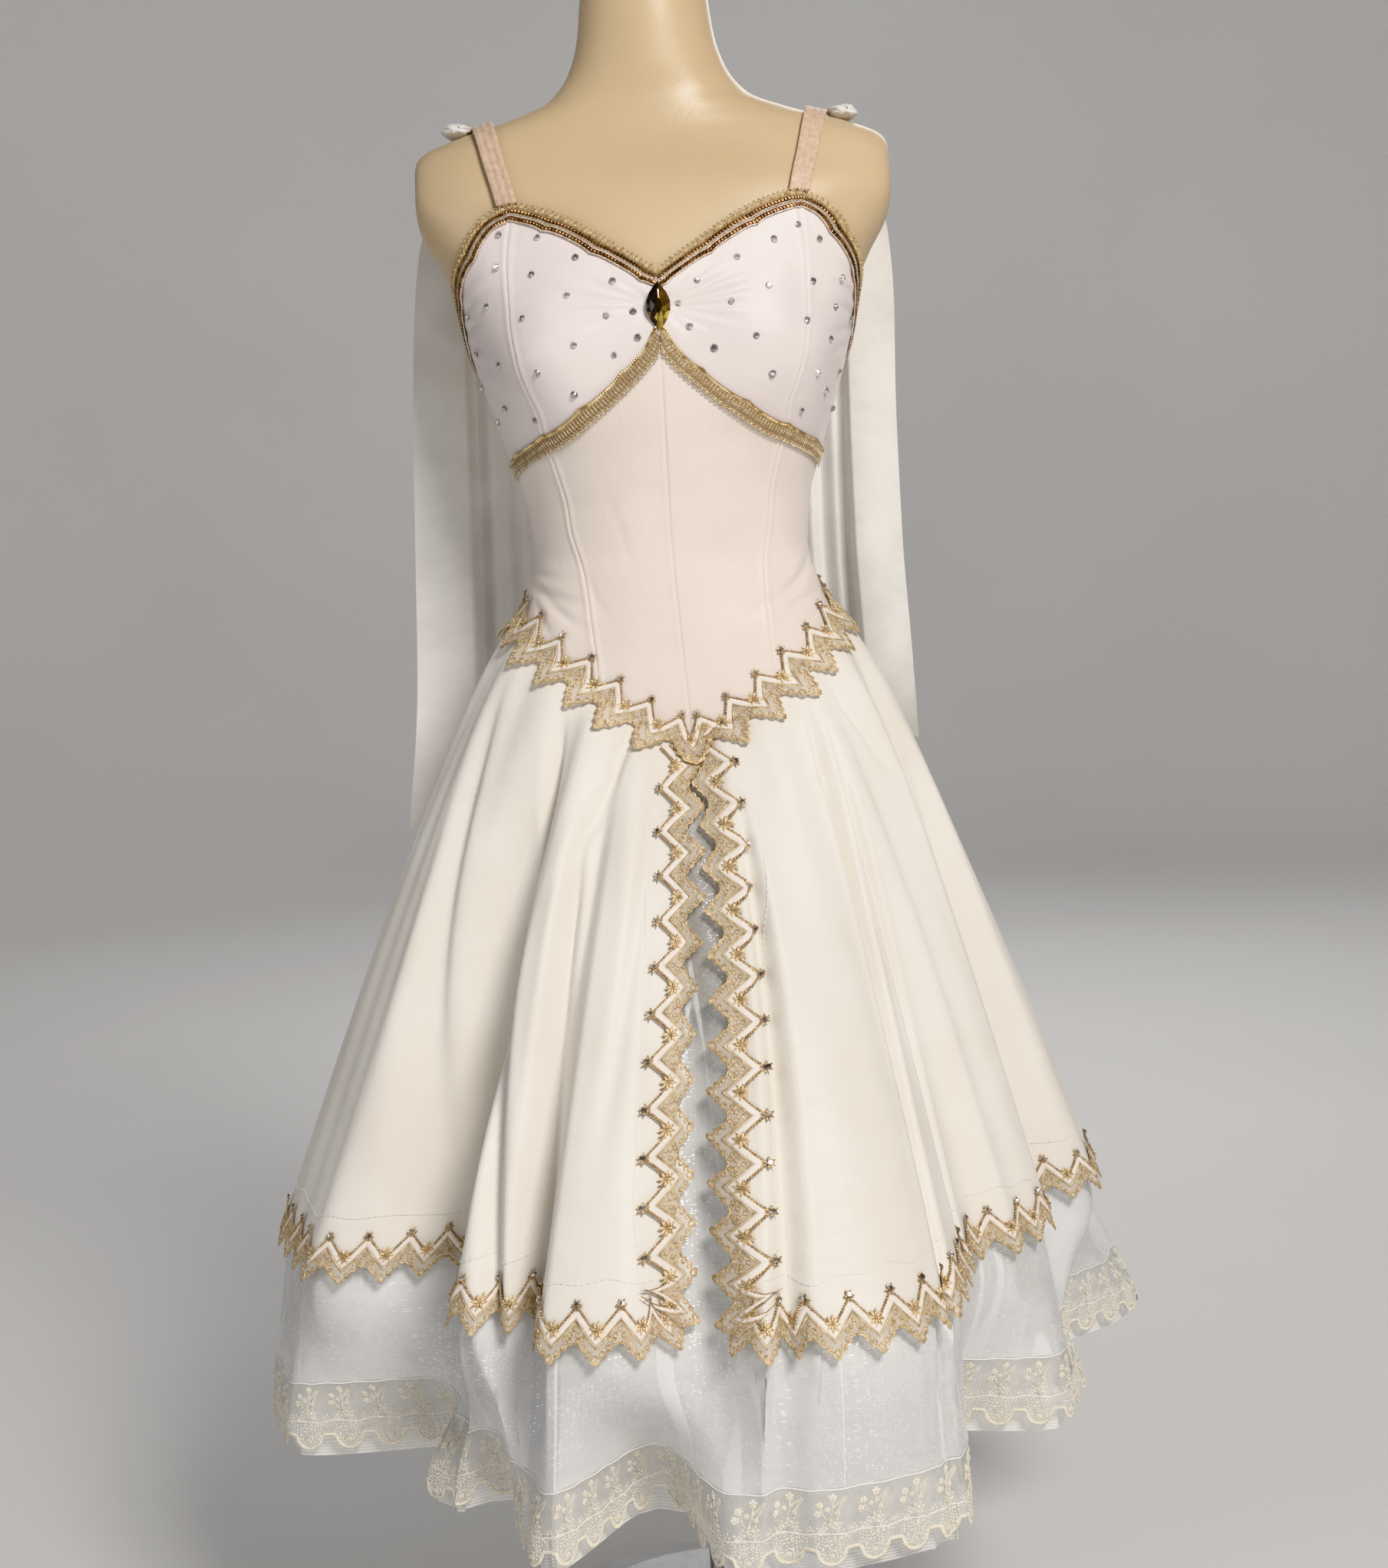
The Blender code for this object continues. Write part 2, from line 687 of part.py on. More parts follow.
def stations(start, end):
    """Azimuths one lace tooth apart, measured along the satin's hem."""
    azimuths = np.linspace(start, end, HEM_SAMPLES)
    points = [skirt_point(azimuth, SATIN_EDGE) for azimuth in azimuths]
    spans = [(after - before).length for before, after in zip(points, points[1:])]
    along = np.concatenate([[0], np.cumsum(spans)])
    teeth = round(along[-1] / TOOTH_PITCH)
    return list(np.interp(np.linspace(0, along[-1], teeth + 1), along, azimuths))


def rung_heights(azimuth):
    """The heights of the skirts' shared rows, from the basque seam down to the net's edge."""
    seam = basque_height(azimuth)
    start = seam - NET_DROP
    satin = [start + (SATIN_EDGE - start) * share for share in SATIN_SHARES]
    return [seam - SEAM_GAP, seam - SHEER_DROP, start, *satin, BLEND_TOP, BORDER_TOP, NET_EDGE]


def layer_depth(azimuth, height, layer):
    """How far inside the satin's outer face this layer's own outer face lies; layer 0 is the satin."""
    spread = eased((basque_height(azimuth) - height) / LAYER_REACH)
    walls = SKIRT_WALL * layer + SHEER_WALL * max(layer - 1, 0)
    return walls + layer * (LAYER_GAP + LAYER_SPREAD * spread)


def skirt_vertex(hem_azimuth, height_at, layer, lift=0.0, inset=0.0):
    """A point of a skirt layer on one of the shared columns; height_at gives its height."""
    azimuth = hem_azimuth
    for _ in range(3):
        height = height_at(azimuth)
        azimuth = column_azimuth(hem_azimuth, height)
    azimuth += math.degrees(inset / skirt_point(azimuth, height).xy.length)
    distance = lift - layer_depth(azimuth, height, layer)
    return moved_out(skirt_point, azimuth, height, distance, FACET_TURN)


def rung_vertex(hem_azimuth, rung, layer, lift=0.0, inset=0.0):
    def height_at(azimuth):
        return rung_heights(azimuth)[rung]

    return skirt_vertex(hem_azimuth, height_at, layer, lift, inset)


def end_inset(across):
    """Half a seam gap, towards the middle of the piece, on its first and last columns."""
    return SEAM_GAP / 2 * ((across < 0.001) - (across > 0.999))


def skirt_sheet(name, columns, rungs, layer, finish, wall):
    """A skirt piece on the shared columns and rows."""
    rungs = list(reversed(rungs))

    def place(across, up):
        hem_azimuth = columns[round(across * (len(columns) - 1))]
        rung = rungs[round(up * (len(rungs) - 1))]
        return rung_vertex(hem_azimuth, rung, layer, inset=end_inset(across))

    made = cloth_grid(name, len(columns) - 1, len(rungs) - 1, place, finish)
    return add_wall(made, wall)


def skirts():
    for name, columns in SATIN_COLUMNS.items():
        skirt_sheet(f"overskirt_{name}", columns, SATIN_RUNGS, 0, "skirt", SKIRT_WALL)
    for name, columns in SHEER_COLUMNS.items():
        skirt_sheet(f"tulle_{name}", columns, TULLE_RUNGS, 1, "tulle", SHEER_WALL)
        skirt_sheet(f"petticoat_{name}", columns, NET_RUNGS, 2, "tulle", SHEER_WALL)
        scalloped_border(f"lace_border_{name}", columns)


def between(columns, place):
    """The two columns beside a place along a list of them, and the share between them."""
    low = min(int(place), len(columns) - 2)
    return columns[low], columns[low + 1], place - low


def facet_vertex(hem_azimuth, height, layer, lift=0.0, inset=0.0):
    """Where a column of a layer's flat facets passes a height."""
    rungs = rung_heights(column_azimuth(hem_azimuth, height))
    lowest = len(rungs) - 2 if layer else len(SATIN_RUNGS) - 2
    above = max(i for i in range(lowest + 1) if i == 0 or rungs[i] >= height)
    upper = rung_vertex(hem_azimuth, above, layer, lift, inset)
    lower = rung_vertex(hem_azimuth, above + 1, layer, lift, inset)
    return upper.lerp(lower, (upper.z - height) / (upper.z - lower.z))


def on_facets(columns, across, height, layer, lift=0.0):
    """A point on a layer's flat facets at one height."""
    before, after, share = between(columns, across * (len(columns) - 1))
    inset = end_inset(across)
    start = facet_vertex(before, height, layer, lift, inset)
    return start.lerp(facet_vertex(after, height, layer, lift, inset), share)


def scalloped_border(name, columns):
    """The embroidered border: one scallop to a column, its lowest point halfway."""
    border_rung = TULLE_RUNGS[-1]

    def place(across, up):
        steps = across * (len(columns) - 1)
        if up > 0.5:
            before, after, share = between(columns, steps)
            start = rung_vertex(before, border_rung, 1, inset=end_inset(across))
            end = rung_vertex(after, border_rung, 1, inset=end_inset(across))
            return start.lerp(end, share) - Vector((0, 0, BORDER_GAP))
        height = TULLE_TIPS + SCALLOP_DEPTH * (round(2 * steps) % 2 == 0)
        return on_facets(columns, across, height, 1)

    made = cloth_grid(name, 2 * (len(columns) - 1), 1, place, "border")
    add_wall(made, SHEER_WALL)


# ---- the gold zigzag lace ----
def tooth(at_peak, up):
    """How far a zigzag ribbon's edge lies from its middle line: peaks and outer tips take turns."""
    if up > 0.5:
        return LACE_PEAK if at_peak else LACE_NOTCH
    return -LACE_DIP if at_peak else -LACE_TIP


def hem_lace():
    for name, columns in SATIN_COLUMNS.items():

        def place(across, up, columns=columns):
            at_peak = round(2 * across * (len(columns) - 1)) % 2 == 1
            height = SATIN_TIPS + LACE_TIP + tooth(at_peak, up)
            return on_facets(columns, across, height, 0, LACE_LIFT)

        made = cloth_grid(f"hem_lace_{name}", 2 * (len(columns) - 1), 1, place, "lace")
        add_wall(made, TRIM_WALL, 1)


def satin_outline(side, height):
    """The satin's facets at one height, from its front edge round towards the side seam."""
    columns = SATIN_COLUMNS["front_right"] if side > 0 else SATIN_COLUMNS["front_left"][::-1]
    return [facet_vertex(hem_azimuth, height, 0) for hem_azimuth in columns[:OUTLINE_COLUMNS]]


def along_outline(outline, distance):
    """A point a distance along the outline, or straight on past its start, lifted off it."""
    before, after = outline[0], outline[1]
    for start, end in zip(outline, outline[1:]):
        before, after = start, end
        if distance <= (end - start).length:
            break
        distance -= (end - start).length
    forward = (after - before).normalized()
    out = Vector((forward.y, -forward.x, 0)).normalized()
    if out.dot(before) < 0:
        out = -out
    return before + forward * distance + out * EDGE_LACE_LIFT


def edge_lace():
    """The lace down both sides of the front split, its tips towards the middle."""
    low = SATIN_TIPS + LACE_TIP + LACE_PEAK + 0.002
    for name, side in SIDES.items():

        def place(across, up, side=side):
            down = across if side > 0 else 1 - across
            height = SPLIT_TOP + (low - SPLIT_TOP) * down
            at_peak = round(across * 2 * EDGE_TEETH) % 2 == 1
            offset = 0.0 if 0.4 < up < 0.6 else tooth(at_peak, up)
            return along_outline(satin_outline(side, height), LACE_TIP - overhang(height) + offset)

        made = cloth_grid(f"edge_lace_{name}", 2 * EDGE_TEETH, 2, place, "lace")
        add_wall(made, TRIM_WALL, 1)


def basque_lace():
    """The lace over the basque seam: its peaks lie on the bodice, its tips on the skirt."""
    upper_skin = on_torso(TRIM_EASE)
    lower_skin = on_skirt(BASQUE_TIP_LIFT)
    for name, (start, end) in HALVES.items():
        inset = math.degrees(SEAM_GAP / 0.13)

        def place(across, up, start=start, end=end, inset=inset):
            azimuth = start + inset + (end - start - 2 * inset) * across
            at_peak = round(across * BASQUE_TEETH) % 2 == 1
            offset = 0.0 if 0.4 < up < 0.6 else tooth(at_peak, up)
            point = beside_line(basque_height, azimuth, offset, torso_radius)
            return upper_skin(*point) if offset >= 0 else lower_skin(*point)

        made = cloth_grid(f"basque_lace_{name}", BASQUE_TEETH, 2, place, "lace")
        add_wall(made, TRIM_WALL, 1)


# ---- the chiffon drapes ----
def drapes():
    for name, side in SIDES.items():

        def place(across, up, side=side):
            row = DRAPE[round(up * (len(DRAPE) - 1))]
            share = across if side > 0 else 1 - across
            outer_x = row.outer_right if side > 0 else row.outer_left
            x = outer_x + (row.inner_x - outer_x) * share
            y = row.outer_y + (row.inner_y - row.outer_y) * share
            y += row.wave * math.sin(2 * math.pi * DRAPE_WAVES * share)
            rise = HEM_RISE_RIGHT * (up < 0.001) * (side > 0)
            return Vector((side * x, y, row.height + rise))

        made = cloth_grid(f"drape_{name}", 14, len(DRAPE) - 1, place, "chiffon")
        add_wall(made, SHEER_WALL, 0)


HEM_EDGES = {name: split_edge(side, SATIN_EDGE) for name, side in SIDES.items()}
SATIN_COLUMNS = {
    "front_left": stations(-90, HEM_EDGES["left"]),
    "front_right": stations(HEM_EDGES["right"], 90),
    "back_left": stations(-180, -90),
    "back_right": stations(90, 180),
}
HALVES = {"front": (-90.0, 90.0), "back": (90.0, 270.0)}
SHEER_COLUMNS = {
    "front": [*SATIN_COLUMNS["front_left"], sum(HEM_EDGES.values()) / 2, *SATIN_COLUMNS["front_right"]],
    "back": [*SATIN_COLUMNS["back_right"], *(place + 360 for place in SATIN_COLUMNS["back_left"][1:])],
}

clear_scene()
COLLECTION = bpy.data.collections.new("ballet_dress_on_form")
bpy.context.scene.collection.children.link(COLLECTION)
MATERIALS = make_materials()
torso_form()
stand()
bodice()
gimp_trims()
gem()
straps()
skirts()
hem_lace()
edge_lace()
basque_lace()
drapes()
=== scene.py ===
import math

import bmesh
import bpy
import numpy as np
from mathutils import Matrix, Vector


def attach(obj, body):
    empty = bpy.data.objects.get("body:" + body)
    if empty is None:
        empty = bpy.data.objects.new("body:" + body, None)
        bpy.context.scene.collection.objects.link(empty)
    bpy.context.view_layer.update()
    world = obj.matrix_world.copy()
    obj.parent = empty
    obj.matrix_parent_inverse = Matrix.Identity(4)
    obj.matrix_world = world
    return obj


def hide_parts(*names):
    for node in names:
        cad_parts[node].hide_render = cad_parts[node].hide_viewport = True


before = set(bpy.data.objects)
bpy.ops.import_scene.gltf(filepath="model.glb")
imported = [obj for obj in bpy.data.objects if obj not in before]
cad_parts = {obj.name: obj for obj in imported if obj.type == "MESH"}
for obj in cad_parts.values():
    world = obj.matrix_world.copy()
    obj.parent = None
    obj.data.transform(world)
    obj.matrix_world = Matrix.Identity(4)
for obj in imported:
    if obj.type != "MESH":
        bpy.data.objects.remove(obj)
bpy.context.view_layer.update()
print("frame loaded")

camera = {"place": (0.009, -1.98, 1.016), "pitch": 6.83, "roll": -2.93, "lens": 52.6, "sensor": 36.0}


def addObject(name, data, place=None):
    made = bpy.data.objects.new(name, data)
    bpy.context.scene.collection.objects.link(made)
    if place:
        made.matrix_world = place
    return made


def addCamera():
    data = bpy.data.cameras.new("camera")
    data.lens, data.sensor_width = camera["lens"], camera["sensor"]
    level = Matrix.Rotation(math.radians(90 - camera["pitch"]), 4, "X")
    roll = Matrix.Rotation(math.radians(camera["roll"]), 4, "Z")
    bpy.context.scene.camera = addObject("camera", data, Matrix.Translation(camera["place"]) @ level @ roll)


addCamera()

# the two surfaces that everything lies on, the torso and the skirt, from the same tables as the solids
# torso rows: height, half width, depth in front, depth behind, power of the rounding
torsoRows = np.array([
    (0.612, 0.156, 0.098, 0.106, 2.2), (0.700, 0.167, 0.103, 0.116, 2.2), (0.780, 0.170, 0.105, 0.120, 2.2),
    (0.850, 0.162, 0.103, 0.111, 2.2), (0.910, 0.1400, 0.097, 0.093, 2.2), (0.950, 0.1210, 0.090, 0.082, 2.15),
    (0.985, 0.1130, 0.085, 0.076, 2.1), (1.020, 0.1160, 0.087, 0.079, 2.1), (1.060, 0.1270, 0.096, 0.086, 2.15),
    (1.100, 0.1405, 0.107, 0.093, 2.2), (1.145, 0.1540, 0.113, 0.099, 2.25), (1.190, 0.1660, 0.109, 0.103, 2.3),
    (1.225, 0.1815, 0.100, 0.103, 2.3), (1.250, 0.1965, 0.091, 0.099, 2.3), (1.280, 0.2110, 0.078, 0.090, 2.3),
    (1.305, 0.2080, 0.063, 0.077, 2.2), (1.320, 0.1960, 0.056, 0.068, 2.1), (1.333, 0.1660, 0.052, 0.060, 2.0),
    (1.345, 0.1230, 0.050, 0.055, 2.0), (1.360, 0.0850, 0.049, 0.052, 2.0), (1.384, 0.0660, 0.050, 0.050, 2.0),
    (1.410, 0.0580, 0.050, 0.049, 2.0), (1.448, 0.0530, 0.048, 0.048, 2.0), (1.460, 0.0490, 0.044, 0.044, 2.0),
    (1.466, 0.0400, 0.036, 0.036, 2.0),
])
torso = {"shoulderHalf": 0.200, "shoulderRound": 0.0035}
bust = {"height": 1.140, "rise": 0.048, "azimuth": 44.0, "spread": 19.0, "depth": 0.016}
# lines on the torso: azimuth from the middle of the front, height
necklineRows = np.array([
    (0, 1.203), (13, 1.218), (26, 1.233), (42, 1.251), (52, 1.260), (57, 1.2635), (62, 1.2565), (67.5, 1.235),
    (76, 1.206), (84, 1.172), (92, 1.150), (105, 1.128), (130, 1.112), (180, 1.100),
])
underbustRows = np.array([
    (0, 1.158), (6, 1.141), (17, 1.1205), (29, 1.102), (44, 1.084), (56, 1.0755), (78, 1.062), (92, 1.056),
])
basqueRows = np.array([
    (0, 0.826), (14.7, 0.839), (27.5, 0.855), (39, 0.871), (49, 0.887), (59.5, 0.901), (73, 0.919), (90, 0.931),
    (130, 0.925), (180, 0.905),
])
# the princess seams: height, azimuth
princessRows = np.array([
    (0.820, 36.0), (0.900, 39.0), (0.948, 43.7), (1.010, 51.8), (1.075, 51.2), (1.105, 48.3), (1.140, 49.0),
    (1.180, 53.0), (1.220, 55.6), (1.265, 56.5),
])
# the hem's folds: a crest's azimuth, half its flat top and its radius, then the next valley's azimuth and radius
satinFolds = np.array([
    (-146, 8, 0.372, -129, 0.290), (-112, 7, 0.362, -94, 0.300), (-72, 9, 0.372, -43, 0.215),
    (-29.5, 3, 0.363, -22.5, 0.340), (-14, 4, 0.402, -1, 0.362), (13, 7, 0.414, 47, 0.300),
    (58, 5, 0.320, 73, 0.272), (91, 6, 0.350, 103, 0.322), (114, 6, 0.368, 130, 0.290),
    (146, 8, 0.372, 163, 0.298), (180, 8, 0.372, 197, 0.298),
])
tulleFolds = np.array([
    (-146, 8, 0.385, -129, 0.300), (-112, 7, 0.378, -95, 0.305), (-74, 5, 0.390, -55, 0.262),
    (-40, 3.5, 0.342, -32.5, 0.304), (-19, 2, 0.408, -8.5, 0.292), (13, 12, 0.414, 46, 0.250),
    (66, 6, 0.336, 87, 0.290), (112, 7, 0.420, 129, 0.305), (146, 8, 0.388, 163, 0.305),
    (180, 8, 0.385, 197, 0.300),
])
skirt = {
    "satinTips": 0.408, "satinEdge": 0.424, "tulleTips": 0.253, "borderTop": 0.313, "netEdge": 0.245,
    "meanRadius": 0.335, "flarePower": 0.78, "foldPower": 1.15, "settle": 0.03, "blendTop": 0.404,
    "gathers": 22, "gatherDepth": 0.0035, "gatherPlace": 0.12, "ease": 0.004,
    "lean": 4.5, "leanTop": 1.00, "leanBottom": 0.85,
}
split = {
    "top": 0.803, "closing": 0.022, "straight": 0.5, "halfTop": 0.0022, "halfHem": 0.0065, "overhang": 0.014,
}
sides = {"left": -1, "right": 1}


def smoothValue(stations, values, place):
    # a smooth curve through the rows that never overshoots them
    steps = np.diff(stations)
    rises = np.diff(values) / steps
    before, after = rises[:-1], rises[1:]
    same = before * after > 0
    middle = np.where(same, 2 * before * after / np.where(same, before + after, 1), 0)
    slopes = np.concatenate([rises[:1], middle, rises[-1:]])
    place = np.clip(place, stations[0], stations[-1])
    i = np.clip(np.searchsorted(stations, place, side="right") - 1, 0, len(steps) - 1)
    part = (place - stations[i]) / steps[i]
    lead = part * (1 - part) ** 2 * slopes[i]
    trail = part * part * (part - 1) * slopes[i + 1]
    return values[i] + (values[i + 1] - values[i]) * eased(part) + steps[i] * (lead + trail)


def wrapped(azimuth):
    return (np.asarray(azimuth, float) + 180) % 360 - 180


def eased(part):
    part = np.clip(part, 0.0, 1.0)
    return part * part * (3 - 2 * part)


def hump(distance, width):
    return np.exp(-((distance / width) ** 2))


def neckline(azimuth):
    return smoothValue(*necklineRows.T, np.abs(wrapped(azimuth)))


def underbust(azimuth):
    return smoothValue(*underbustRows.T, np.abs(wrapped(azimuth)))


def basqueLean(azimuth):
    return skirt["lean"] * eased(2 - np.abs(wrapped(azimuth)) / 90)


def basque(azimuth):
    return smoothValue(*basqueRows.T, np.abs(wrapped(azimuth - basqueLean(azimuth))))


def leanAt(height):
    reach = (skirt["leanTop"] - height) / (skirt["leanTop"] - skirt["leanBottom"])
    return skirt["lean"] * np.clip(reach, 0.0, 1.0)


def princess(side, height):
    return side * smoothValue(*princessRows.T, height) + leanAt(height)


def torsoRadius(azimuth, height):
    heights, *shape = torsoRows.T
    halfWidth, front, back, power = (smoothValue(heights, values, height) for values in shape)
    sideways, forward = np.abs(np.sin(np.radians(azimuth))), np.cos(np.radians(azimuth))
    depth = np.where(forward >= 0, front, back)
    spans = (sideways / halfWidth) ** power + (np.abs(forward) / depth) ** power
    across = np.abs(wrapped(azimuth)) - bust["azimuth"]
    cup = hump(across, bust["spread"]) * hump(height - bust["height"], bust["rise"])
    radius = spans ** (-1 / power) + bust["depth"] * cup
    edge, soft = torso["shoulderHalf"] / np.maximum(sideways, 1e-6), torso["shoulderRound"]
    near = np.clip((edge - radius) / soft, -30, 30)
    return np.minimum(radius, edge) - soft * np.log1p(np.exp(-np.abs(near)))


def stacked(*parts):
    return np.stack(np.broadcast_arrays(*parts), axis=-1)


def atPolar(azimuth, radius, height):
    turn = np.radians(azimuth)
    return stacked(radius * np.sin(turn), -radius * np.cos(turn), height)


def torsoPoint(azimuth, height):
    return atPolar(azimuth, torsoRadius(azimuth, height), height)


def foldRadius(folds, azimuth):
    crest, spread, high, valley, low = np.vstack([folds, folds[0] + (360, 0, 0, 0, 0)]).T
    knots = stacked(crest - spread, crest + spread, valley).ravel()[:-1]
    radii = stacked(high, high, low).ravel()[:-1]
    place = (azimuth - knots[0]) % 360 + knots[0]
    i = np.clip(np.searchsorted(knots, place, side="right") - 1, 0, len(knots) - 2)
    return radii[i] + (radii[i + 1] - radii[i]) * eased((place - knots[i]) / (knots[i + 1] - knots[i]))


def skirtPoint(azimuth, height):
    seam = basque(azimuth)
    start = torsoRadius(azimuth, seam) + skirt["ease"]
    drop = np.maximum((seam - height) / (seam - skirt["satinTips"]), 0.0)
    low = 1 + skirt["settle"] * (1 - np.exp(-np.maximum(drop - 1, 0) * skirt["flarePower"] / skirt["settle"]))
    flare = np.where(drop <= 1, drop ** skirt["flarePower"], low)
    lower = eased((skirt["blendTop"] - height) / (skirt["blendTop"] - skirt["tulleTips"]))
    satin = foldRadius(satinFolds, azimuth)
    hem = satin + (foldRadius(tulleFolds, azimuth) - satin) * lower
    radius = start + (skirt["meanRadius"] - start) * flare
    radius += (hem - skirt["meanRadius"]) * np.minimum(drop, 1.0) ** skirt["foldPower"]
    reach, turn = drop / skirt["gatherPlace"], np.radians(azimuth)
    wave = np.cos(skirt["gathers"] * turn + 0.9 * np.sin(3 * turn))
    return atPolar(azimuth, radius + skirt["gatherDepth"] * reach * np.exp(1 - reach) * wave, height)


def normalOf(surface, azimuth, height, turn=0.2, rise=0.0008):
    across = surface(azimuth + turn, height) - surface(azimuth - turn, height)
    upward = surface(azimuth, height + rise) - surface(azimuth, height - rise)
    normal = np.cross(across, upward)
    return normal / np.linalg.norm(normal, axis=-1, keepdims=True)


def movedOut(surface, azimuth, height, distance, turn=0.2):
    distance = np.asarray(distance, float)[..., None]
    return surface(azimuth, height) + normalOf(surface, azimuth, height, turn) * distance


def fromSplit(side, distance, height):
    # the azimuth a distance from the middle of the lace's tips on one side of the split
    tall = split["top"] - skirt["satinTips"]
    middle = skirt["lean"] * eased((height - split["straight"]) / (split["top"] - split["straight"]))
    half = split["halfTop"] + (split["halfHem"] - split["halfTop"]) * eased((split["top"] - height) / tall)
    near = np.minimum(height, split["top"])
    radius = np.linalg.norm(skirtPoint(np.zeros_like(near), near)[..., :2], axis=-1)
    return middle + side * np.degrees((half + distance) / radius)


def splitEdge(side, height):
    height = np.asarray(height, float)
    overhang = split["overhang"] * eased((split["top"] - height) / split["closing"])
    return fromSplit(side, overhang, height)


# making meshes
def addPiece(name, points, faces, material=None, uvs=None, smooth=True):
    mesh = bpy.data.meshes.new(name)
    mesh.from_pydata(np.asarray(points).reshape(-1, 3).tolist(), [], faces)
    if uvs is not None:
        layer = mesh.uv_layers.new(name="cloth")
        corners = np.empty(len(mesh.loops), int)
        mesh.loops.foreach_get("vertex_index", corners)
        layer.data.foreach_set("uv", np.asarray(uvs, float).reshape(-1, 2)[corners].ravel())
    if material:
        mesh.materials.append(material)
    if smooth:
        mesh.shade_smooth()
    mesh.update()
    return addObject(name, mesh)


def gridFaces(rows, columns, closed=False):
    here = np.arange(columns if closed else columns - 1)
    up, after = np.arange(rows - 1)[:, None] * columns, (here + 1) % columns
    faces = [up + here, up + after, up + columns + after, up + columns + here]
    return np.stack(faces, axis=-1).reshape(-1, 4).tolist()


def alongPath(points):
    return np.concatenate([[0], np.cumsum(np.linalg.norm(np.diff(points, axis=0), axis=-1))])


def sheetUvs(points):
    # metres along the middle row and up the middle column
    across, up = alongPath(points[points.shape[0] // 2]), alongPath(points[:, points.shape[1] // 2])
    return np.stack(np.meshgrid(across, up), axis=-1)


def addSheet(name, points, material, wall=0.0):
    made = addPiece(name, points, gridFaces(*points.shape[:2]), material, sheetUvs(points))
    if wall:
        thick = made.modifiers.new("wall", "SOLIDIFY")
        thick.thickness, thick.offset = wall, -1
        settle(made)
    return made


def addRings(name, points, material, uvs=None, openStart=False, turned=False):
    # rings of points joined in their order, with a face over each closed end
    rows, count = points.shape[:2]
    faces = gridFaces(rows, count, True) + ([] if openStart else [list(range(count))[::-1]])
    faces.append(list(range((rows - 1) * count, rows * count)))
    return addPiece(name, points, [face[::-1] for face in faces] if turned else faces, material, uvs)


def settle(made):
    # works the modifiers into the mesh
    graph = bpy.context.evaluated_depsgraph_get()
    done = made.evaluated_get(graph)
    mesh = bpy.data.meshes.new_from_object(done, preserve_all_data_layers=True, depsgraph=graph)
    made.modifiers.clear()
    made.data, mesh.name = mesh, made.name
    return made


def remove(made):
    bpy.data.objects.remove(made, do_unlink=True)


def declare(made, nodes=()):
    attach(made, "root")
    if nodes:
        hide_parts(*nodes)


# node trees
def wire(tree, kind, *sources, **settings):
    # a node with its sockets filled in order, from numbers or from other nodes' sockets
    made = tree.nodes.new(kind)
    for name, value in settings.items():
        setattr(made, name, value)
    for socket, source in zip([socket for socket in made.inputs if socket.enabled], sources):
        if isinstance(source, bpy.types.NodeSocket):
            tree.links.new(source, socket)
        elif source is not None:
            socket.default_value = source
    return next(socket for socket in made.outputs if socket.enabled)


def maths(tree, operation, *sources):
    return wire(tree, "ShaderNodeMath", *sources, operation=operation)


def vectorMaths(tree, operation, *sources):
    return wire(tree, "ShaderNodeVectorMath", *sources, operation=operation)


def blended(tree, start, end, share):
    way = vectorMaths(tree, "SUBTRACT", end, start)
    return vectorMaths(tree, "ADD", start, vectorMaths(tree, "SCALE", way, share))


def makeTree(name, inputs):
    # a geometry tree with its named inputs given as "name: kind, name: kind"
    tree = bpy.data.node_groups.new(name, "GeometryNodeTree")
    tree.is_modifier = True
    for entry in f"Geometry: Geometry, {inputs}, Material: Material".split(", "):
        label, kind = entry.split(": ")
        tree.interface.new_socket(label, in_out="INPUT", socket_type="NodeSocket" + kind)
    tree.interface.new_socket("Geometry", in_out="OUTPUT", socket_type="NodeSocketGeometry")
    return tree, tree.nodes.new("NodeGroupInput").outputs, tree.nodes.new("NodeGroupOutput").inputs


def pieceShape(tree, given):
    info = tree.nodes.new("GeometryNodeObjectInfo")
    tree.links.new(given, info.inputs["Object"])
    return info.outputs["Geometry"]


def finishTree(tree, shape, given, result):
    tree.links.new(wire(tree, "GeometryNodeSetMaterial", shape, None, given["Material"]), result["Geometry"])
    return tree


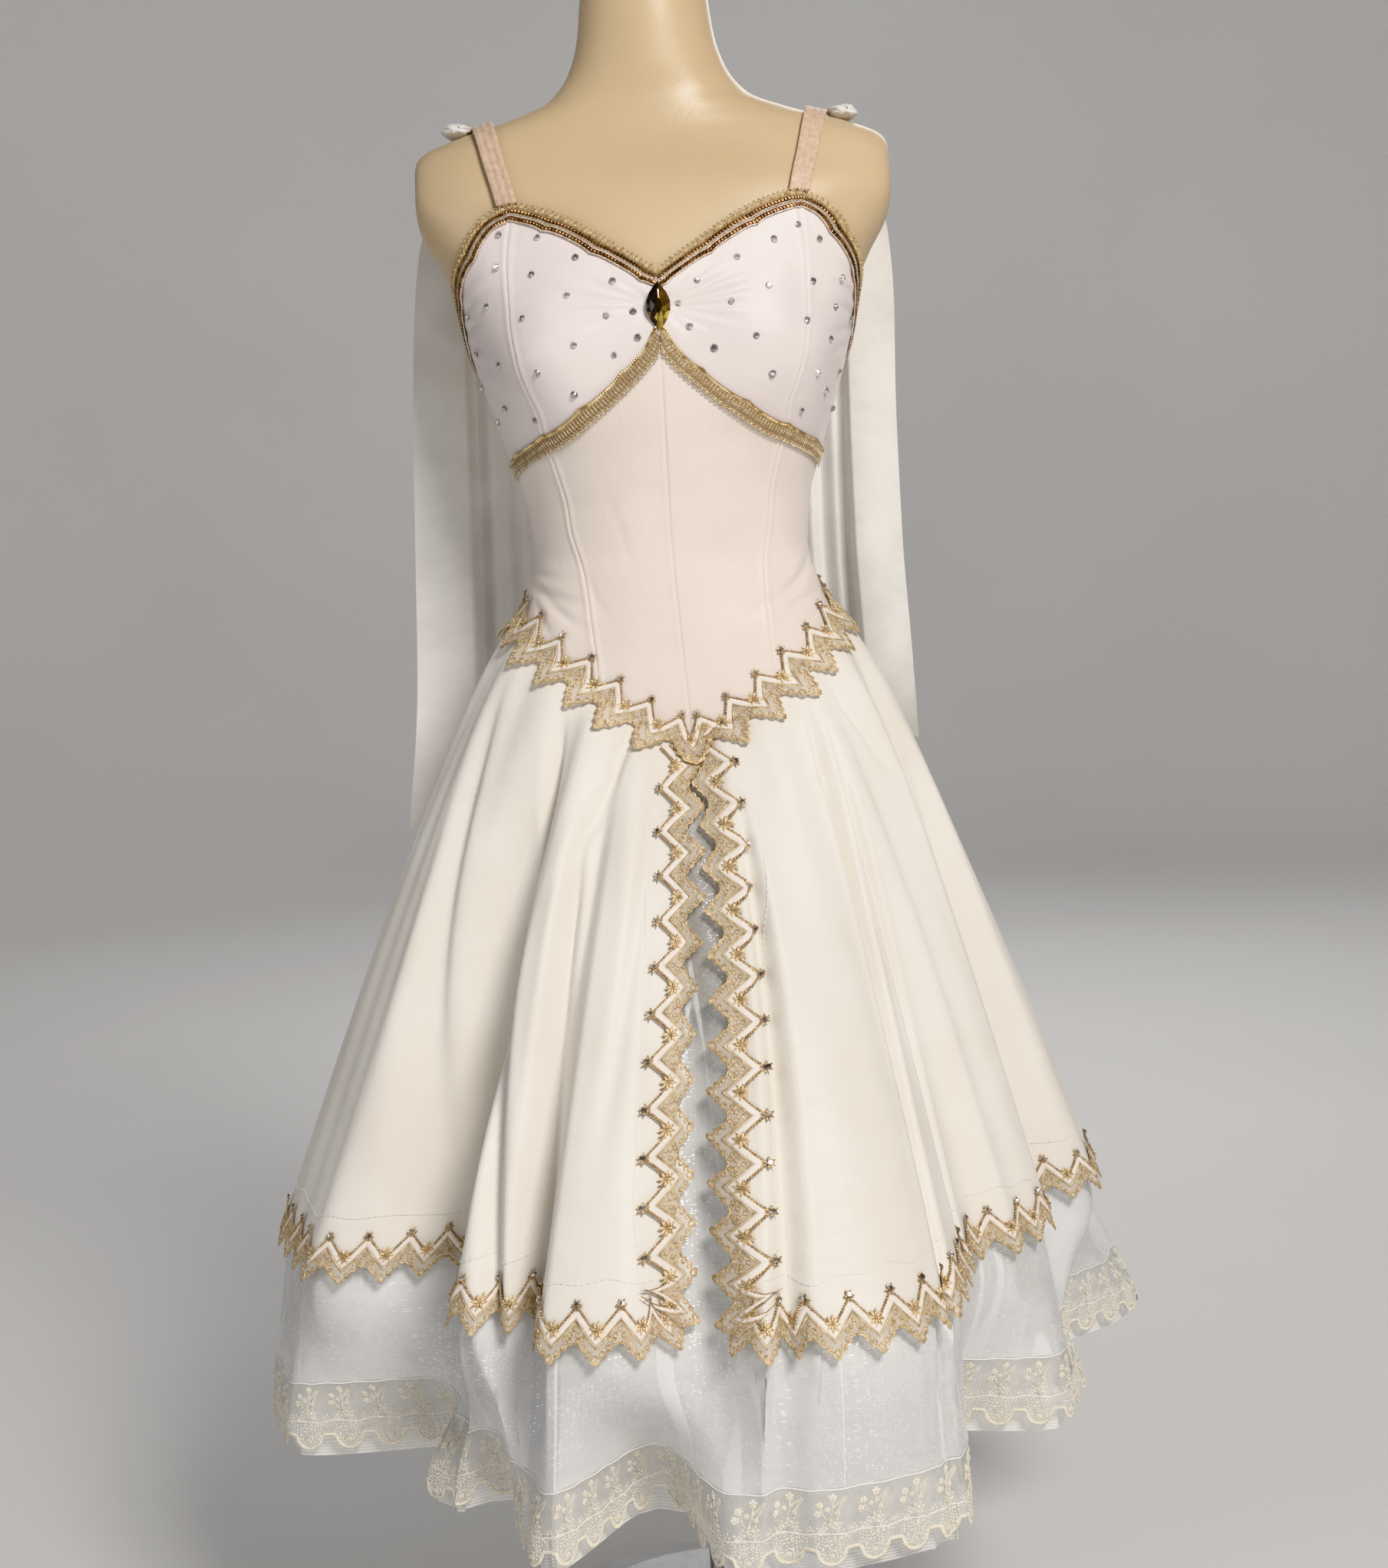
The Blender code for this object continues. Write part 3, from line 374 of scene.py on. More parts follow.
def makeBendTree():
    # repeats a flat motif along X, then bends the row onto a guide's grid of points
    kinds = "Guide: Object, Repeats: Int, Pitch: Float, Width: Float, Guide columns: Int, Guide rows: Int"
    tree, given, result = makeTree("bendAlong", kinds)
    step = wire(tree, "ShaderNodeCombineXYZ", given["Pitch"])
    starts = wire(tree, "GeometryNodeMeshLine", given["Repeats"], None, step)
    placed = wire(tree, "GeometryNodeInstanceOnPoints", starts, None, given["Geometry"])
    run = wire(tree, "GeometryNodeRealizeInstances", placed)
    place = wire(tree, "GeometryNodeInputPosition")
    parts = wire(tree, "ShaderNodeSeparateXYZ", place).node.outputs
    length = maths(tree, "MULTIPLY", given["Pitch"], given["Repeats"])
    guide = pieceShape(tree, given["Guide"])

    def cell(amount, whole, count):
        # the guide's cell that a place lies in, and how far into it
        spot = maths(tree, "MULTIPLY", maths(tree, "DIVIDE", amount, whole), count)
        low = maths(tree, "MAXIMUM", maths(tree, "FLOOR", spot), 0.0)
        low = maths(tree, "MINIMUM", low, maths(tree, "SUBTRACT", count, 1.0))
        return low, maths(tree, "SUBTRACT", spot, low)

    across, acrossShare = cell(parts["X"], length, given["Guide columns"])
    up, upShare = cell(parts["Y"], given["Width"], given["Guide rows"])
    stride = maths(tree, "ADD", given["Guide columns"], 1.0)

    def corner(right, above):
        row = maths(tree, "MULTIPLY", maths(tree, "ADD", up, above), stride)
        index = maths(tree, "ROUND", maths(tree, "ADD", row, maths(tree, "ADD", across, right)))
        return wire(tree, "GeometryNodeSampleIndex", guide, place, index, data_type="FLOAT_VECTOR")

    corners = [[corner(right, above) for right in (0, 1)] for above in (0, 1)]
    lower, upper = (blended(tree, *pair, acrossShare) for pair in corners)
    left, right = (blended(tree, *pair, upShare) for pair in zip(*corners))
    sideways, upward = vectorMaths(tree, "SUBTRACT", right, left), vectorMaths(tree, "SUBTRACT", upper, lower)
    out = vectorMaths(tree, "NORMALIZE", vectorMaths(tree, "CROSS_PRODUCT", sideways, upward))
    lift = vectorMaths(tree, "SCALE", out, parts["Z"])
    spot = vectorMaths(tree, "ADD", blended(tree, lower, upper, upShare), lift)
    return finishTree(tree, wire(tree, "GeometryNodeSetPosition", run, None, spot), given, result)


def makePlaceTree():
    # sets a small piece on every point of a guide, turned to its "out" and "along" directions
    tree, given, result = makeTree("placeOnPoints", "Piece: Object, Tilt: Float, Seed: Int")
    piece = pieceShape(tree, given["Piece"])
    out, along, size = (
        wire(tree, "GeometryNodeInputNamedAttribute", name, data_type=kind)
        for name, kind in (("out", "FLOAT_VECTOR"), ("along", "FLOAT_VECTOR"), ("size", "FLOAT"))
    )
    upright = wire(tree, "FunctionNodeAlignRotationToVector", None, 1.0, out, axis="Z")
    turned = wire(tree, "FunctionNodeAlignRotationToVector", upright, 1.0, along, axis="X", pivot_axis="Z")
    most = wire(tree, "ShaderNodeCombineXYZ", given["Tilt"], given["Tilt"], 0.0)
    least = vectorMaths(tree, "SCALE", most, -1.0)
    tilt = wire(tree, "FunctionNodeRandomValue", least, most, None, given["Seed"], data_type="FLOAT_VECTOR")
    tilt = wire(tree, "FunctionNodeEulerToRotation", tilt)
    loose = wire(tree, "FunctionNodeRotateRotation", turned, tilt, rotation_space="LOCAL")
    scale = wire(tree, "ShaderNodeCombineXYZ", size, size, size)
    placed = wire(tree, "GeometryNodeInstanceOnPoints", given["Geometry"], None, piece, None, None, loose, scale)
    return finishTree(tree, wire(tree, "GeometryNodeRealizeInstances", placed), given, result)


bendTree, placeTree = makeBendTree(), makePlaceTree()


def runTree(made, tree, settings):
    modifier = made.modifiers.new(tree.name, "NODES")
    modifier.node_group = tree
    for socket in tree.interface.items_tree:
        if socket.in_out == "INPUT" and socket.name in settings:
            modifier[socket.identifier] = settings[socket.name]
    return settle(made)


def bendMotif(name, shapes, guidePoints, repeats, trim, material, smooth=True):
    # a motif in millimetres, flat and also its own UV map, bent onto a grid whose row 0 is its lower edge
    rows, columns = guidePoints.shape[:2]
    guide = addPiece(name + "_guide", guidePoints, gridFaces(rows, columns), smooth=False)
    points, faces = joined(shapes)
    made = addPiece(name, points, faces, material, points[:, :2], smooth)
    settings = {"Guide": guide, "Repeats": repeats, "Pitch": trim["pitch"] / 1000, "Width": trim["width"] / 1000}
    runTree(made, bendTree, settings | {"Guide columns": columns - 1, "Guide rows": rows - 1, "Material": material})
    remove(guide)
    return made


def scatter(name, points, outs, alongs, sizes, shapes, material, slot, tilt, seed, smooth=True):
    piece = addPiece(name + "_source", *joined(shapes), smooth=smooth)
    made = addPiece(name, points, [], smooth=False)
    for label, ways in (("out", outs), ("along", alongs)):
        data = made.data.attributes.new(label, "FLOAT_VECTOR", "POINT").data
        data.foreach_set("vector", np.broadcast_to(ways, (len(points), 3)).astype(float).ravel())
    data = made.data.attributes.new("size", "FLOAT", "POINT").data
    data.foreach_set("value", np.broadcast_to(sizes, len(points)).astype(float))
    runTree(made, placeTree, {"Piece": piece, "Tilt": math.radians(tilt), "Seed": seed, "Material": material})
    remove(piece)
    declare(made)


# small flat shapes that motifs are put together from: points in millimetres, and faces
def joined(shapes):
    # one shape out of many, in metres
    points, faces = [], []
    for shapePoints, shapeFaces in shapes:
        faces += [[index + len(points) for index in face] for face in shapeFaces]
        points += [list(point) for point in shapePoints]
    return np.array(points, float) / 1000, faces


def circle(x, y, radius, sides, lift, start=0.0, stretch=1.0):
    turns = start + np.arange(sides) * 2 * math.pi / sides
    return [(x + radius * math.cos(turn), y + radius * stretch * math.sin(turn), lift) for turn in turns]


def besidePath(path, closed=False):
    # the direction to the left at each point of a flat path
    tangents = np.roll(path, -1, axis=0) - np.roll(path, 1, axis=0) if closed else np.gradient(path, axis=0)
    tangents = tangents / np.linalg.norm(tangents, axis=1, keepdims=True)
    return np.stack([-tangents[:, 1], tangents[:, 0]], axis=1)


def tube(path, radius, sides=4, closed=False):
    path = np.array([(*point, 0.0)[:3] for point in path], float)
    radii = np.broadcast_to(np.asarray(radius, float), (len(path),))[:, None, None]
    sideways = np.pad(besidePath(path, closed), ((0, 0), (0, 1)))[:, None]
    turns = ((np.arange(sides) + 0.5) * 2 * math.pi / sides)[None, :, None]
    points = path[:, None] + radii * (np.cos(turns) * sideways + np.sin(turns) * np.array([0, 0, 1.0]))
    count = len(path)
    faces = []
    for i in range(count if closed else count - 1):
        for j in range(sides):
            low, high, beside = i * sides, (i + 1) % count * sides, (j + 1) % sides
            faces.append([low + j, low + beside, high + beside, high + j])
    if not closed:
        faces += [list(reversed(range(sides))), [(count - 1) * sides + j for j in range(sides)]]
    return points.reshape(-1, 3).tolist(), faces


def ring(x, y, radius, thick, steps=8, sides=4, lift=0.0, stretch=1.0):
    return tube(circle(x, y, radius, steps, lift, stretch=stretch), thick, sides, closed=True)


def strip(path, width, lift, crown):
    # a flat ribbon with a raised middle
    path = np.array(path, float)
    profile = ((-0.5, 0.0), (-0.25, 0.75), (0.25, 0.75), (0.5, 0.0))
    points = [
        (*(spot - side * share * width), lift + crown * rise)
        for spot, side in zip(path, besidePath(path)) for share, rise in profile
    ]
    return points, [[i * 4 + j + step for step in (1, 5, 4, 0)] for i in range(len(path) - 1) for j in range(3)]


def petal(x, y, turn, start, length, width, lift, rise):
    # a pointed leaf that swells in its middle
    turn = math.radians(turn)
    half = [(0.45, -0.5, 0), (0.8, -0.32, 0)]
    outline = [(0, 0, 0.3), *half, (1, 0, 0), (0.8, 0.32, 0), (0.45, 0.5, 0), (0.55, 0, 1)]
    points = []
    for share, across, up in outline:
        along, across = start + length * share, across * width
        east = x + along * math.sin(turn) + across * math.cos(turn)
        points.append((east, y + along * math.cos(turn) - across * math.sin(turn), lift + up * rise))
    return points, [[6, (i + 1) % 6, i] for i in range(6)]


def flower(x, y, petals, radius, width, lift=0.3, rise=0.5, turn=0.0):
    start, length = radius * 0.12, radius * 0.88
    return [petal(x, y, turn + 360 * i / petals, start, length, width, lift, rise) for i in range(petals)]


def cutStone(x, y, radius, depth, sides=8, lift=0.0, table=0.55):
    # a flat-backed stone with a table and a ring of facets
    points = circle(x, y, radius, sides, lift) + circle(x, y, radius, sides, lift + depth * 0.3)
    points += circle(x, y, radius * table, sides, lift + depth, math.pi / sides)
    faces = [list(range(2 * sides, 3 * sides))]
    for i in range(sides):
        after = (i + 1) % sides
        faces += [[i, after, sides + after, sides + i], [sides + i, sides + after, 2 * sides + i]]
        faces.append([sides + after, 2 * sides + after, 2 * sides + i])
    return points, faces + [list(reversed(range(sides)))]


def dome(x, y, radius, height, sides=6, lift=0.0):
    points = circle(x, y, radius, sides, lift) + circle(x, y, radius * 0.6, sides, lift + height * 0.8)
    faces = gridFaces(2, sides, True) + [[sides + i, sides + (i + 1) % sides, 2 * sides] for i in range(sides)]
    return points + [(x, y, lift + height)], faces


def netBetween(x, low, high, rows, lift=0.0):
    # a flat ground of net between two lines
    points = stacked(x, low + (high - low) * np.linspace(0, 1, rows)[:, None], lift)
    return points.reshape(-1, 3).tolist(), gridFaces(rows, len(x))


# materials
def addMaterial(name, colour, roughness, metallic=0.0, **constants):
    made = bpy.data.materials.new(name)
    made.use_nodes = True
    shader = made.node_tree.nodes["Principled BSDF"]
    values = {"Base Color": (*colour, 1), "Roughness": roughness, "Metallic": metallic} | constants
    for socket, value in values.items():
        shader.inputs[socket].default_value = value
    return made, made.node_tree, shader


def fromSurface(tree, uses, stretch=(1, 1, 1)):
    # "Object" reads metres in the model, "UV" metres along the cloth
    place = tree.nodes.new("ShaderNodeTexCoord").outputs[uses]
    return wire(tree, "ShaderNodeMapping", place, None, None, stretch)


def noise(tree, place, scale, detail=2.0):
    return wire(tree, "ShaderNodeTexNoise", place, scale, detail, 0.5)


def spread(tree, value, low, high, newLow=0.0, newHigh=1.0):
    return wire(tree, "ShaderNodeMapRange", value, low, high, newLow, newHigh)


def addColour(tree, shader, share, *colours):
    colours = [(*colour, 1) for colour in colours]
    tree.links.new(wire(tree, "ShaderNodeMix", share, *colours, data_type="RGBA"), shader.inputs["Base Color"])


def addBump(tree, shader, height, depth):
    tree.links.new(wire(tree, "ShaderNodeBump", 1.0, depth, None, height), shader.inputs["Normal"])


def addGloss(tree, shader, pattern, low, high):
    tree.links.new(spread(tree, pattern, 0.3, 0.7, low, high), shader.inputs["Roughness"])


def tones(tree, shader, low, high, place, scale, contrast=0.3):
    share = spread(tree, noise(tree, place, scale, 3.0), 0.5 - contrast / 2, 0.5 + contrast / 2)
    addColour(tree, shader, share, low, high)


def satinMaterial(name, low, high, roughness):
    # a warp-faced satin: fine threads across a soft, slightly uneven shine
    sheen = {"Sheen Weight": 0.15, "Sheen Roughness": 0.35, "Specular IOR Level": 0.55}
    made, tree, shader = addMaterial(name, high, roughness, **sheen)
    cloth = fromSurface(tree, "UV")
    tones(tree, shader, low, high, fromSurface(tree, "Object"), 9.0)
    threads = noise(tree, fromSurface(tree, "UV", (1, 0.08, 1)), 1400.0)
    slubs = noise(tree, fromSurface(tree, "UV", (0.2, 1, 1)), 160.0)
    addGloss(tree, shader, slubs, roughness - 0.05, roughness + 0.06)
    uneven = maths(tree, "MULTIPLY", noise(tree, cloth, 45.0, 3.0), 2.0)
    addBump(tree, shader, maths(tree, "ADD", threads, uneven), 0.00022)
    return made


def sheerMaterial(name, colour, thread, dashes=0.0, ribs=0.0, creases=0.0):
    # see-through cloth: its "closeness" attribute says how closed it looks on the folds' flanks
    made, tree, shader = addMaterial(name, colour, 0.6, **{"Sheen Weight": 0.25, "Sheen Roughness": 0.4})
    density = tree.nodes.new("ShaderNodeAttribute")
    density.attribute_name = "closeness"
    cloth = fromSurface(tree, "UV")
    patches = spread(tree, noise(tree, cloth, 30.0, 3.0), 0.3, 0.7, 0.9, 1.1)
    alpha = maths(tree, "MULTIPLY", density.outputs["Fac"], patches)
    addColour(tree, shader, spread(tree, noise(tree, cloth, 14.0), 0.3, 0.7), colour, thread)
    if ribs:
        lines = tree.nodes.new("ShaderNodeTexWave")
        lines.bands_direction = "Y"
        lines.inputs["Scale"].default_value = 1 / (ribs * math.pi)
        lines.inputs["Distortion"].default_value = 0.4
        tree.links.new(cloth, lines.inputs["Vector"])
        alpha = maths(tree, "MULTIPLY", alpha, spread(tree, lines.outputs["Fac"], 0.2, 0.8, 0.75, 1.2))
    if creases:
        # narrow upright folds, where the cloth lies doubled
        runs = noise(tree, fromSurface(tree, "UV", (1.0, 0.05, 1.0)), 16.0, 1.0)
        off = maths(tree, "ABSOLUTE", maths(tree, "SUBTRACT", runs, 0.5))
        alpha = maths(tree, "MAXIMUM", alpha, spread(tree, off, 0.004, 0.011, creases, 0.0))
    if dashes:
        # bright woven dashes, thicker in some places than in others
        cells = tree.nodes.new("ShaderNodeTexVoronoi")
        cells.inputs["Scale"].default_value = 1 / dashes
        tree.links.new(fromSurface(tree, "UV", (0.42, 1.0, 1.0)), cells.inputs["Vector"])
        chosen = tree.nodes.new("ShaderNodeSeparateColor")
        tree.links.new(cells.outputs["Color"], chosen.inputs[0])
        clumps = spread(tree, noise(tree, cloth, 24.0, 3.0), 0.34, 0.66, 0.12, 0.68)
        near = maths(tree, "LESS_THAN", cells.outputs["Distance"], 0.30)
        dash = maths(tree, "MULTIPLY", near, maths(tree, "LESS_THAN", chosen.outputs[0], clumps))
        alpha = maths(tree, "MAXIMUM", alpha, dash)
        tree.links.new(spread(tree, dash, 0.0, 1.0, 0.6, 0.46), shader.inputs["Roughness"])
        tree.links.new(maths(tree, "MULTIPLY", dash, 0.6), shader.inputs["Metallic"])
        addColour(tree, shader, dash, colour, (0.97, 0.97, 0.99))
    tree.links.new(maths(tree, "MINIMUM", alpha, 1.0), shader.inputs["Alpha"])
    return made


def solidMaterial(name, low, high, roughness, metallic, patches, grain=None, gloss=None, **constants):
    # patches: scale and contrast of the tones; grain: scale, detail and depth; gloss: stretch, scale, detail, ends
    made, tree, shader = addMaterial(name, high, roughness, metallic, **constants)
    place = fromSurface(tree, "Object")
    tones(tree, shader, low, high, place, *patches)
    if gloss:
        stretch, scale, detail, *ends = gloss
        addGloss(tree, shader, noise(tree, fromSurface(tree, "Object", stretch), scale, detail), *ends)
    if grain:
        addBump(tree, shader, noise(tree, place, *grain[:2]), grain[2])
    return made


def threadMaterial(name, low, high, roughness, metallic=0.0, fine=900.0, depth=0.0003):
    # embroidery, cord or braid: twisted strands with small differences of tone
    grain = (fine, 2.0, depth)
    return solidMaterial(name, low, high, roughness, metallic, (260.0, 0.4), grain, **{"Sheen Weight": 0.1})


def netMaterial(name, colour, alpha):
    low = tuple(part * 0.86 for part in colour)
    return solidMaterial(name, low, colour, 0.65, 0.0, (220.0, 0.4), (1200.0, 1.0, 0.0002), Alpha=alpha)


def stoneMaterial(name, low, high, roughness, metallic, coat=1.0):
    # foil-backed cut glass: each stone takes its own tint
    shine = {"Coat Weight": coat, "Coat Roughness": 0.03, "Specular IOR Level": 0.8}
    return solidMaterial(name, low, high, roughness, metallic, (130.0, 0.2), **shine)


def metalMaterial(name, low, high):
    return solidMaterial(name, low, high, 0.3, 1.0, (30.0, 0.3), gloss=((1, 1, 0.04), 900.0, 2.0, 0.24, 0.38))


formShell = solidMaterial(
    "form_shell", (0.585, 0.445, 0.28), (0.66, 0.515, 0.335), 0.34, 0.0, (5.0, 0.3), (240.0, 3.0, 0.00012),
    ((1, 1, 1), 18.0, 4.0, 0.30, 0.40), **{"Specular IOR Level": 0.45}
)
standSteel = metalMaterial("stand_steel", (0.50, 0.50, 0.51), (0.58, 0.58, 0.59))
darkHook = metalMaterial("hook_steel", (0.34, 0.33, 0.33), (0.50, 0.49, 0.48))
bodiceSatin = satinMaterial("bodice_satin", (0.81, 0.715, 0.65), (0.89, 0.80, 0.74), 0.40)
cupSatin = satinMaterial("cup_satin", (0.79, 0.705, 0.69), (0.88, 0.805, 0.785), 0.33)
skirtSatin = satinMaterial("skirt_satin", (0.84, 0.79, 0.72), (0.91, 0.87, 0.81), 0.44)
sparkleTulle = sheerMaterial("sparkle_tulle", (0.84, 0.84, 0.84), (0.93, 0.93, 0.93), dashes=0.0012, creases=0.85)
stiffNet = sheerMaterial("stiff_net", (0.84, 0.83, 0.80), (0.93, 0.92, 0.89), ribs=0.0022)
drapeChiffon = sheerMaterial("drape_chiffon", (0.76, 0.74, 0.71), (0.88, 0.86, 0.83))
creamThread = threadMaterial("cream_thread", (0.80, 0.73, 0.59), (0.96, 0.91, 0.80), 0.55)
whiteThread = threadMaterial("white_thread", (0.90, 0.88, 0.85), (0.98, 0.97, 0.95), 0.5)
goldCord = threadMaterial("gold_cord", (0.48, 0.33, 0.16), (0.91, 0.73, 0.47), 0.36, 0.4)
bronzeCord = threadMaterial("bronze_cord", (0.32, 0.20, 0.10), (0.76, 0.57, 0.34), 0.32, 0.5)
paleGoldCord = threadMaterial("pale_gold_cord", (0.60, 0.46, 0.28), (0.98, 0.88, 0.70), 0.30, 0.4)
paleBraid = threadMaterial("pale_braid", (0.62, 0.46, 0.34), (0.96, 0.86, 0.76), 0.30, 0.25)
laceSatin = threadMaterial("lace_satin", (0.85, 0.77, 0.69), (0.94, 0.88, 0.82), 0.36, 0.0, 500.0, 0.0002)
strapElastic = threadMaterial("strap_elastic", (0.55, 0.40, 0.29), (0.72, 0.54, 0.41), 0.5, 0.0, 700.0)
laceNet = netMaterial("lace_net", (0.88, 0.77, 0.62), 0.55)
borderNet = netMaterial("border_net", (0.86, 0.85, 0.82), 0.42)
gimpGround = netMaterial("gimp_ground", (0.48, 0.32, 0.16), 0.9)
clearCrystal = stoneMaterial("clear_crystal", (0.42, 0.36, 0.38), (0.94, 0.88, 0.87), 0.10, 0.85)
smokyCrystal = stoneMaterial("smoky_crystal", (0.30, 0.24, 0.20), (0.80, 0.72, 0.62), 0.08, 0.85)
bronzeSequin = stoneMaterial("bronze_sequin", (0.10, 0.045, 0.02), (0.36, 0.20, 0.09), 0.22, 0.85, 0.4)
goldSequin = stoneMaterial("gold_sequin", (0.46, 0.30, 0.12), (0.92, 0.74, 0.42), 0.22, 0.8, 0.4)
gemDark = stoneMaterial("gem_dark", (0.015, 0.010, 0.006), (0.05, 0.03, 0.012), 0.06, 0.6)
# painted reflections: these two tints colour the front stone's facets where it reflects the lights
gemAmberReflection = stoneMaterial("gem_amber", (0.20, 0.10, 0.03), (0.45, 0.24, 0.07), 0.07, 0.8)
gemGoldReflection = stoneMaterial("gem_gold", (0.50, 0.40, 0.06), (0.85, 0.74, 0.16), 0.08, 0.8)
print("materials made")

# the dress form
formShape = {"inset": 0.0008, "sides": 96, "steps": 5, "capInset": 0.05}


def addForm():
    heights, *shape, _ = torsoRows.T
    runs = [np.linspace(*ends, formShape["steps"], endpoint=False) for ends in zip(heights, heights[1:])]
    turns = np.radians(np.arange(formShape["sides"]) * 360 / formShape["sides"])
    rings = []
    for level in np.concatenate([*runs, heights[-1:]]):
        halfWidth, front, back = (float(smoothValue(heights, values, level)) for values in shape)
        depth = np.where(np.cos(turns) >= 0, front, back)
        azimuth = np.degrees(np.arctan2(halfWidth * np.sin(turns), depth * np.cos(turns)))
        rings.append(atPolar(azimuth, torsoRadius(azimuth, level) - formShape["inset"], level))
    ends = np.array([rings[0], rings[-1]])
    centre = ends.mean(axis=1, keepdims=True)
    inner = centre + (ends - centre) * (1 - formShape["capInset"])
    made = addRings("form_shell", np.array([inner[0], *rings, inner[1]]), formShell)
    declare(made, ["form_torso"])


addForm()
for node in ("form_pole", "form_base"):
    for materialSlot in bpy.data.objects[node].material_slots:
        materialSlot.material = standSteel
print("form made")

# the bodice: five panels a side, with seams, boning and creases
bodice = {
    "ease": 0.004, "seamDepth": 0.0009, "seamWidth": 0.0011, "boningRise": 0.0008, "boningHalf": 0.0042,
    "allowance": 0.45, "cupsFrom": 1.06, "cupsBlend": 0.03, "lineBlend": 0.012, "lineEnd": 95,
}
# creases: azimuth, height, slope in degrees rising towards +X, length, width, depth
hipCreases = [
    (-64, 0.950, -14, 0.034, 0.0065, 0.0020), (-55, 0.936, -30, 0.026, 0.0050, 0.0018),
    (-72, 0.966, -6, 0.024, 0.0060, 0.0012), (-62, 0.928, -42, 0.022, 0.0045, 0.0012),
    (57, 0.945, 24, 0.030, 0.0060, 0.0018), (60, 0.934, 14, 0.026, 0.0050, 0.0015),
    (70, 0.960, 30, 0.028, 0.0060, 0.0013), (54, 0.926, 40, 0.018, 0.0045, 0.0010),
    (-40, 0.952, -58, 0.030, 0.0050, 0.0006), (-26, 1.000, -76, 0.040, 0.0060, 0.0004),
    (22, 0.990, 80, 0.045, 0.0070, 0.0004), (-100, 0.955, 10, 0.034, 0.0065, 0.0014),
    (102, 0.958, -12, 0.034, 0.0065, 0.0014), (-128, 0.948, 22, 0.034, 0.0070, 0.0012),
    (130, 0.950, -20, 0.034, 0.0070, 0.0012), (-150, 0.985, 4, 0.050, 0.0080, 0.0010),
    (152, 0.990, -6, 0.050, 0.0080, 0.0010), (-120, 1.010, 8, 0.042, 0.0080, 0.0008),
    (122, 1.005, -5, 0.042, 0.0080, 0.0008),
]
# the folds that run in from the armhole's trim, the same on both sides
sideFolds = [
    (71, 1.205, -22, 0.020, 0.0045, 0.0013), (72, 1.190, -14, 0.024, 0.0045, 0.0016),
    (74, 1.174, -6, 0.024, 0.0045, 0.0016), (73, 1.158, 6, 0.022, 0.0045, 0.0013),
    (72, 1.143, 16, 0.020, 0.0045, 0.0010),
]
# the gathers that run out from the stone: slope, reach, width, depth
gemFolds = [
    (34, 0.060, 0.0050, 0.0017), (20, 0.085, 0.0050, 0.0024), (9, 0.100, 0.0045, 0.0028),
    (-1, 0.090, 0.0045, 0.0027), (-11, 0.080, 0.0050, 0.0024), (-24, 0.060, 0.0050, 0.0018),
    (-40, 0.045, 0.0050, 0.0014),
]
gem = {"place": 1.1785, "height": 0.038, "width": 0.020, "depth": 0.006, "ease": 0.0072, "sides": 16}


def creaseShape(distance, width):
    # a valley with a soft roll on each side
    share = (distance / width) ** 2
    return (1 - 0.9 * share) * np.exp(-share)


def alongSlope(along, upward, slope):
    # distances along a sloping line and square to it
    cos, sin = math.cos(math.radians(slope)), math.sin(math.radians(slope))
    return along * cos + upward * sin, upward * cos - along * sin


def creaseLift(azimuth, height, crease):
    place, level, slope, length, width, depth = crease
    along = np.radians(wrapped(azimuth - place)) * torsoRadius(azimuth, height)
    lengthwise, crosswise = alongSlope(along, height - level, slope)
    return -depth * creaseShape(crosswise, width) * hump(lengthwise, length)


def gemFoldLift(azimuth, height):
    along = np.abs(np.radians(wrapped(azimuth))) * torsoRadius(azimuth, height)
    lift = np.zeros(np.broadcast(azimuth, height).shape)
    for slope, reach, width, depth in gemFolds:
        lengthwise, crosswise = alongSlope(along, height - gem["place"], slope)
        crosswise = crosswise - 0.10 * lengthwise**2 * (1 if slope >= 0 else -1)
        share = np.clip(lengthwise / reach, 0, 2)
        strength = np.minimum(share * 5, 1) * eased(1.1 - share)
        lift -= depth * creaseShape(crosswise, width * (0.5 + 0.9 * share)) * strength
    return lift


def bodiceLift(azimuth, height):
    azimuth, height = np.broadcast_arrays(np.asarray(azimuth, float), np.asarray(height, float))
    lift = np.zeros(azimuth.shape)
    radius = torsoRadius(azimuth, height)
    seams = [leanAt(height), princess(-1, height), princess(1, height), -90.0, 90.0, 180.0]
    for i, seam in enumerate(seams):
        distance = np.abs(np.radians(wrapped(azimuth - seam))) * radius
        # the princess seams are boned, the others stand up by their seam allowance alone
        rise = bodice["boningRise"] * (1.0 if i in (1, 2) else bodice["allowance"])
        lift += rise * np.exp(-((distance / bodice["boningHalf"]) ** 4))
        lift -= bodice["seamDepth"] * hump(distance, bodice["seamWidth"])
    for crease in hipCreases:
        lift += creaseLift(azimuth, height, crease)
    onCups = eased((height - bodice["cupsFrom"]) / bodice["cupsBlend"])
    for crease in sideFolds:
        lift += (creaseLift(azimuth, height, crease) + creaseLift(-azimuth, height, crease)) * onCups
    overLine = eased((height - underbust(azimuth)) / bodice["lineBlend"])
    return lift + gemFoldLift(azimuth, height) * overLine * (np.abs(wrapped(azimuth)) < bodice["lineEnd"])


def onBodice(azimuth, height, extra=0.0):
    return movedOut(torsoPoint, azimuth, height, bodice["ease"] + extra + bodiceLift(azimuth, height))


def constant(value):
    return lambda place: value + np.zeros(np.shape(place))


def between(start, end, lower, upper, up, columns, level, rounds):
    # azimuths and heights between two edges (azimuths at a height) and two lines (heights at an azimuth),
    # found in a few rounds from a first height
    across = np.linspace(0, 1, columns)[None, :]
    azimuth = (start(level) + end(level)) / 2 + np.zeros((len(up), columns))
    for _ in range(rounds):
        height = lower(azimuth) + (upper(azimuth) - lower(azimuth)) * up
        azimuth = start(height) + (end(height) - start(height)) * across
    return azimuth, height


